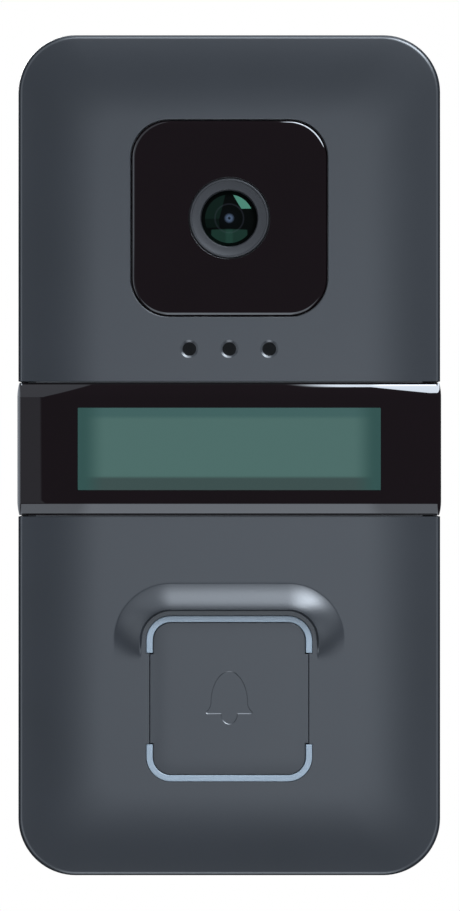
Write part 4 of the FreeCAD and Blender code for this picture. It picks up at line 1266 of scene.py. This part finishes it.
@dataclass(frozen=True)
class Screw:
    """A small machine screw along Y with a domed head and a cross recess."""

    nodes: tuple[str, ...]
    slot: str
    head_r: float
    head_h: float
    shank_r: float
    pitch: float = 0.45
    lone_turn: float = 0.4

    def form(self, length: float, way: int) -> bpy.types.Object:
        """One screw about the origin.

        Args:
            length: its whole length.
            way: +1 when the head is at the high end of Y.

        Returns:
            The screw.
        """
        foot, top = -length / 2, length / 2
        seat, crown = top - self.head_h, top - 0.3 * self.head_h
        core = self.shank_r - 0.54 * self.pitch / 2
        profile = [(0.0, foot), (core * 0.75, foot), (core, foot + self.pitch * 0.6)]
        y = foot + self.pitch * 0.6
        while y + self.pitch < seat - 0.3:
            profile += [(core, y + 0.12 * self.pitch), (self.shank_r, y + 0.46 * self.pitch),
                        (self.shank_r, y + 0.58 * self.pitch), (core, y + 0.92 * self.pitch)]
            y += self.pitch
        profile += [(core, seat - 0.12), (core + 0.12, seat), (self.head_r - 0.06, seat),
                    (self.head_r, seat + 0.06), (self.head_r, crown - 0.05)]
        for step in range(1, 7):
            angle = math.pi / 2 * step / 6
            profile.append((self.head_r * math.cos(angle), crown + (top - crown) * math.sin(angle)))
        screw = lathe("screw", [(r, way * h) for r, h in profile], (0.0, 0.0), 40)
        arm, depth = 0.56 * self.head_r, 0.62 * self.head_h
        wide = 0.16 * self.head_r
        cross = np.array([(arm, -wide), (arm, wide), (wide, wide), (wide, arm), (-wide, arm), (-wide, wide),
                          (-arm, wide), (-arm, -wide), (-wide, -wide), (-wide, -arm), (wide, -arm),
                          (wide, -wide)])
        low, high = sorted((way * (top - depth), way * (top + 0.5)))
        carve(screw, slab("cutter", cross, high, low))
        return screw

    def build(self, frame: dict[str, Any]) -> None:
        """Sets the screws where the frame has them, one piece for each node."""
        for node in self.nodes:
            body = frame["nodes"][node]
            parts = loose_parts(body)
            places = np.array([tuple(v.co) for v in body.data.vertices]) / MM
            wide = [np.ptp(places[np.abs(places[:, 1] - y) < 0.05][:, 0]) for y in
                    (parts[0].low.y, parts[0].high.y)]
            way = 1 if wide[1] > wide[0] else -1
            screw = self.form(parts[0].size.y, way)
            smooth(screw)
            made = Repeat(node + "_set", turn=math.tau if len(parts) > 1 else self.lone_turn).place(
                screw, [tuple(part.centre) for part in parts], SLOT_FINISH[self.slot].material())
            join_object(made, "housing", self.slot, node)


def screws() -> list[Screw]:
    """Every set of screws in the object."""
    return [Screw(("camera_screws",), "stainless_steel", 1.6, 0.7, 0.78, 0.4),
            Screw(("bracket_screws", "frame_screws"), "stainless_steel", 1.7, 0.9, 0.78, 0.45),
            Screw(("board_screws",), "stainless_steel", 1.9, 1.0, 0.78, 0.45),
            Screw(tuple(f"housing_screw_{n}" for n in range(1, 5)), "stainless_steel", 2.5, 1.9, 1.2, 0.7)]


def dress_frame_nodes(frame: dict[str, Any]) -> None:
    """Gives every frame node its finish, welded and eased.
    """
    slots = {s["node"]: s["material_slot"] for s in frame["record"]["subparts"]}
    for node, piece in frame["nodes"].items():
        finish = SLOT_FINISH[slots[node]]
        dress(piece, finish.material())
        weld = piece.modifiers.new("weld", "WELD")
        weld.merge_threshold = WELD_MM * MM
        ease = piece.modifiers.new("ease", "BEVEL")
        ease.width = EASE_MM * MM
        ease.segments = 2
        ease.limit_method = "ANGLE"
        ease.angle_limit = math.radians(40)
        ease.use_clamp_overlap = True


# ---------------------------------------------------------------- studio

@dataclass(frozen=True)
class Lobe:
    """A soft round bright patch of the studio: full inside the inner angle, gone at the outer one."""

    direction: tuple[float, float, float]
    inner_deg: float
    outer_deg: float
    strength: float

    def build(self, tree: bpy.types.NodeTree, place: bpy.types.NodeSocket) -> bpy.types.NodeSocket:
        """The patch's strength in each direction."""
        dot = add_node(tree, "ShaderNodeVectorMath", {1: tuple(Vector(self.direction).normalized())},
                       {0: place}, operation="DOT_PRODUCT")
        patch = add_node(tree, "ShaderNodeMapRange",
                         {"From Min": math.cos(math.radians(self.outer_deg)),
                          "From Max": math.cos(math.radians(self.inner_deg)), "To Max": self.strength},
                         {"Value": dot.outputs["Value"]}, interpolation_type="SMOOTHSTEP")
        return patch.outputs["Result"]


@dataclass(frozen=True)
class Card:
    """A crisp bright card, as polished surfaces mirror it: a window in the direction's X and Z."""

    x: tuple[float, float]
    z: tuple[float, float]
    strength: float
    soft: float = 0.006
    lean: float = 0.0

    def build(self, tree: bpy.types.NodeTree, x: bpy.types.NodeSocket,
              z: bpy.types.NodeSocket) -> bpy.types.NodeSocket:
        """The card's strength in each direction; the lean slants its left and right sides."""
        slanted = add_node(tree, "ShaderNodeMath", {1: self.lean}, {0: z, 2: x}, operation="MULTIPLY_ADD")
        total: Optional[bpy.types.NodeSocket] = None
        for socket, (low, high) in ((slanted.outputs[0], self.x), (z, self.z)):
            for start, end in ((low - self.soft, low + self.soft), (high + self.soft, high - self.soft)):
                edge = add_node(tree, "ShaderNodeMapRange", {"From Min": start, "From Max": end},
                                {"Value": socket}, interpolation_type="SMOOTHSTEP").outputs["Result"]
                total = edge if total is None else add_node(
                    tree, "ShaderNodeMath", links={0: total, 1: edge}, operation="MULTIPLY").outputs[0]
        return add_node(tree, "ShaderNodeMath", {1: self.strength}, {0: total},
                        operation="MULTIPLY").outputs[0]


@dataclass(frozen=True)
class SoftBox:
    """A rectangular studio light."""

    name: str
    place: tuple[float, float, float]
    size: tuple[float, float]
    radiance: float


@dataclass
class Studio:
    """Surroundings, lights and camera."""

    lobes: list[Lobe] = field(default_factory=list)
    cards: list[Card] = field(default_factory=list)
    boxes: list[SoftBox] = field(default_factory=list)
    ambient: float = 0.08
    tint: tuple[float, float, float, float] = (0.90, 1.0, 1.12, 1.0)

    def summed(self, tree: bpy.types.NodeTree, patches: Sequence[bpy.types.NodeSocket],
               start: float) -> bpy.types.NodeSocket:
        """Adds strengths to an even start."""
        total = add_node(tree, "ShaderNodeValue").outputs[0]
        total.default_value = start
        for patch in patches:
            total = add_node(tree, "ShaderNodeMath", links={0: total, 1: patch}, operation="ADD").outputs[0]
        return total

    def build_world(self) -> None:
        """White behind the object, soft patches that light it, and crisp cards for polished surfaces."""
        world = bpy.data.worlds.new("studio_room")
        bpy.context.scene.world = world
        world.use_nodes = True
        tree = world.node_tree
        tree.nodes.clear()
        place = add_node(tree, "ShaderNodeTexCoord").outputs["Generated"]
        parts = add_node(tree, "ShaderNodeSeparateXYZ", links={0: place})
        soft = self.summed(tree, [lobe.build(tree, place) for lobe in self.lobes], self.ambient)
        crisp = self.summed(tree, [card.build(tree, parts.outputs["X"], parts.outputs["Z"])
                                   for card in self.cards], self.ambient)
        path = add_node(tree, "ShaderNodeLightPath")
        strength = add_node(tree, "ShaderNodeMix",
                            links={0: path.outputs["Is Singular Ray"], 2: soft, 3: crisp})
        room = add_node(tree, "ShaderNodeBackground", {"Color": self.tint},
                        {"Strength": strength.outputs[0]})
        white = add_node(tree, "ShaderNodeBackground", {"Color": (1, 1, 1, 1), "Strength": 1.0})
        mixed = add_node(tree, "ShaderNodeMixShader",
                         links={0: path.outputs["Is Camera Ray"], 1: room.outputs[0], 2: white.outputs[0]})
        add_node(tree, "ShaderNodeOutputWorld", links={"Surface": mixed.outputs[0]})

    def build_lights(self) -> None:
        """One area light for each soft box, turned towards the object."""
        for box in self.boxes:
            data = bpy.data.lights.new(box.name, "AREA")
            data.shape = "RECTANGLE"
            data.size, data.size_y = box.size
            data.energy = box.radiance * math.pi * box.size[0] * box.size[1]
            lamp = new_object(box.name, data)
            lamp.location = box.place
            lamp.rotation_euler = (-Vector(box.place)).to_track_quat("-Z", "Y").to_euler()

    def build_camera(self) -> None:
        """A long lens straight in front, whose view is 159.4 mm high at the object's face."""
        data = bpy.data.cameras.new("front_camera")
        distance, view_height, body_depth = 0.70, 0.1594, 0.028
        data.sensor_width = 36.0
        data.lens = data.sensor_width * distance / view_height
        data.clip_start = 0.01
        camera = new_object("front_camera", data)
        camera.location = (0.00013, -distance - body_depth, -0.00005)
        camera.rotation_euler = (math.pi / 2, 0.0, 0.0)
        bpy.context.scene.camera = camera

    def build_floor(self) -> None:
        """A plain pale floor well below the object, which neither lights it nor shows in its gloss."""
        half, z = 0.8, -0.45
        mesh = bpy.data.meshes.new("pale_floor")
        mesh.from_pydata([(-half, -half, z), (half, -half, z), (half, half, z), (-half, half, z)], [],
                         [(0, 1, 2, 3)])
        floor = new_object("pale_floor", mesh)
        dress(floor, PALE_BOARD.material())
        floor.visible_glossy = floor.visible_diffuse = floor.visible_shadow = False
        floor.visible_transmission = False

    def build(self) -> None:
        """The whole studio."""
        bpy.context.scene.view_settings.view_transform = "Standard"
        self.build_world()
        self.build_floor()
        self.build_lights()
        self.build_camera()


def studio() -> Studio:
    """The plain studio: a glow from the front, the key at upper right and a pale table below."""
    lobes = [Lobe((0.04, -1.0, -0.03), 5.0, 11.0, 3.6),
             Lobe((0.0, -1.0, 0.0), 44.0, 66.0, 1.0),
             Lobe((0.0, -1.0, 0.0), 24.0, 34.0, -1.0),
             Lobe((-0.78, -0.62, 0.0), 12.0, 24.0, 1.1),
             Lobe((0.8, -0.6, -0.05), 12.0, 24.0, 0.7),
             Lobe((0.38, -0.57, 0.73), 6.0, 19.0, 20.0),
             Lobe((0.0, -0.55, 0.83), 6.0, 15.0, 7.5),
             Lobe((0.6, -0.55, 0.58), 6.0, 16.0, 10.0),
             Lobe((-0.5, -0.6, 0.6), 8.0, 20.0, 1.0),
             Lobe((-0.6, -0.65, -0.42), 8.0, 22.0, 1.3),
             Lobe((0.6, -0.65, -0.42), 8.0, 22.0, 1.3),
             Lobe((0.1, 0.3, 1.0), 10.0, 35.0, 1.5),
             Lobe((0.0, -0.45, -0.9), 8.0, 22.0, 4.5)]
    cards = [Card((-0.5, 0.5), (-1.1, -0.26), 2.4, soft=0.02),
             Card((-0.1, 0.1), (-1.1, -0.26), 1.1, soft=0.04),
             Card((-1.1, 1.1), (-1.1, -0.9), 12.0),
             Card((0.052, 0.36), (0.72, 1.1), 19.0, lean=0.039),
             Card((0.10, 0.90), (0.78, 1.1), 14.0, soft=0.03),
             Card((0.56, 1.6), (0.33, 0.72), 19.0, lean=0.66),
             Card((0.36, 0.9), (0.72, 0.95), 19.0),
             Card((-2.0, -0.30), (-0.2, 0.05), 0.4, lean=0.1),
             Card((-2.0, -0.304), (0.05, 1.1), 0.9, lean=-0.28),
             Card((-1.1, -0.76), (-0.5, 0.6), 2.5)]
    boxes = [SoftBox("rear_fill", (-0.5, 0.9, 0.5), (0.6, 0.6), 12.0)]
    return Studio(lobes, cards, boxes)


def main() -> None:
    """Builds the object round the frame and the studio round the object."""
    logging.basicConfig(level=logging.INFO, format="%(message)s")
    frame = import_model()
    dress_frame_nodes(frame)

    shell, cap, band = Extent.of("front_shell"), Extent.of("button_cap"), Extent.of("name_cover")
    window = Extent.of("camera_window")
    form = FaceForm(shell.high.x, shell.high.z, cap.low.y)
    FrontShell(form, Brow(cap.centre.z), shell.high.y, window, band, cap).build()
    LOG.info("front shell done")
    cover = NameCover(form, band, Extent.of("name_window"))
    cover.build()
    cover.build_pegs()
    cover.build_pane()
    LOG.info("name cover done")
    Camera(window, Extent.of("lens_bezel"), Extent.of("front_lens")).build()
    LOG.info("camera done")
    CallButton(cap).build()
    LOG.info("call button done")
    for screw in screws():
        screw.build(frame)
    LOG.info("screws done")
    studio().build()


if __name__ == "__main__":
    main()
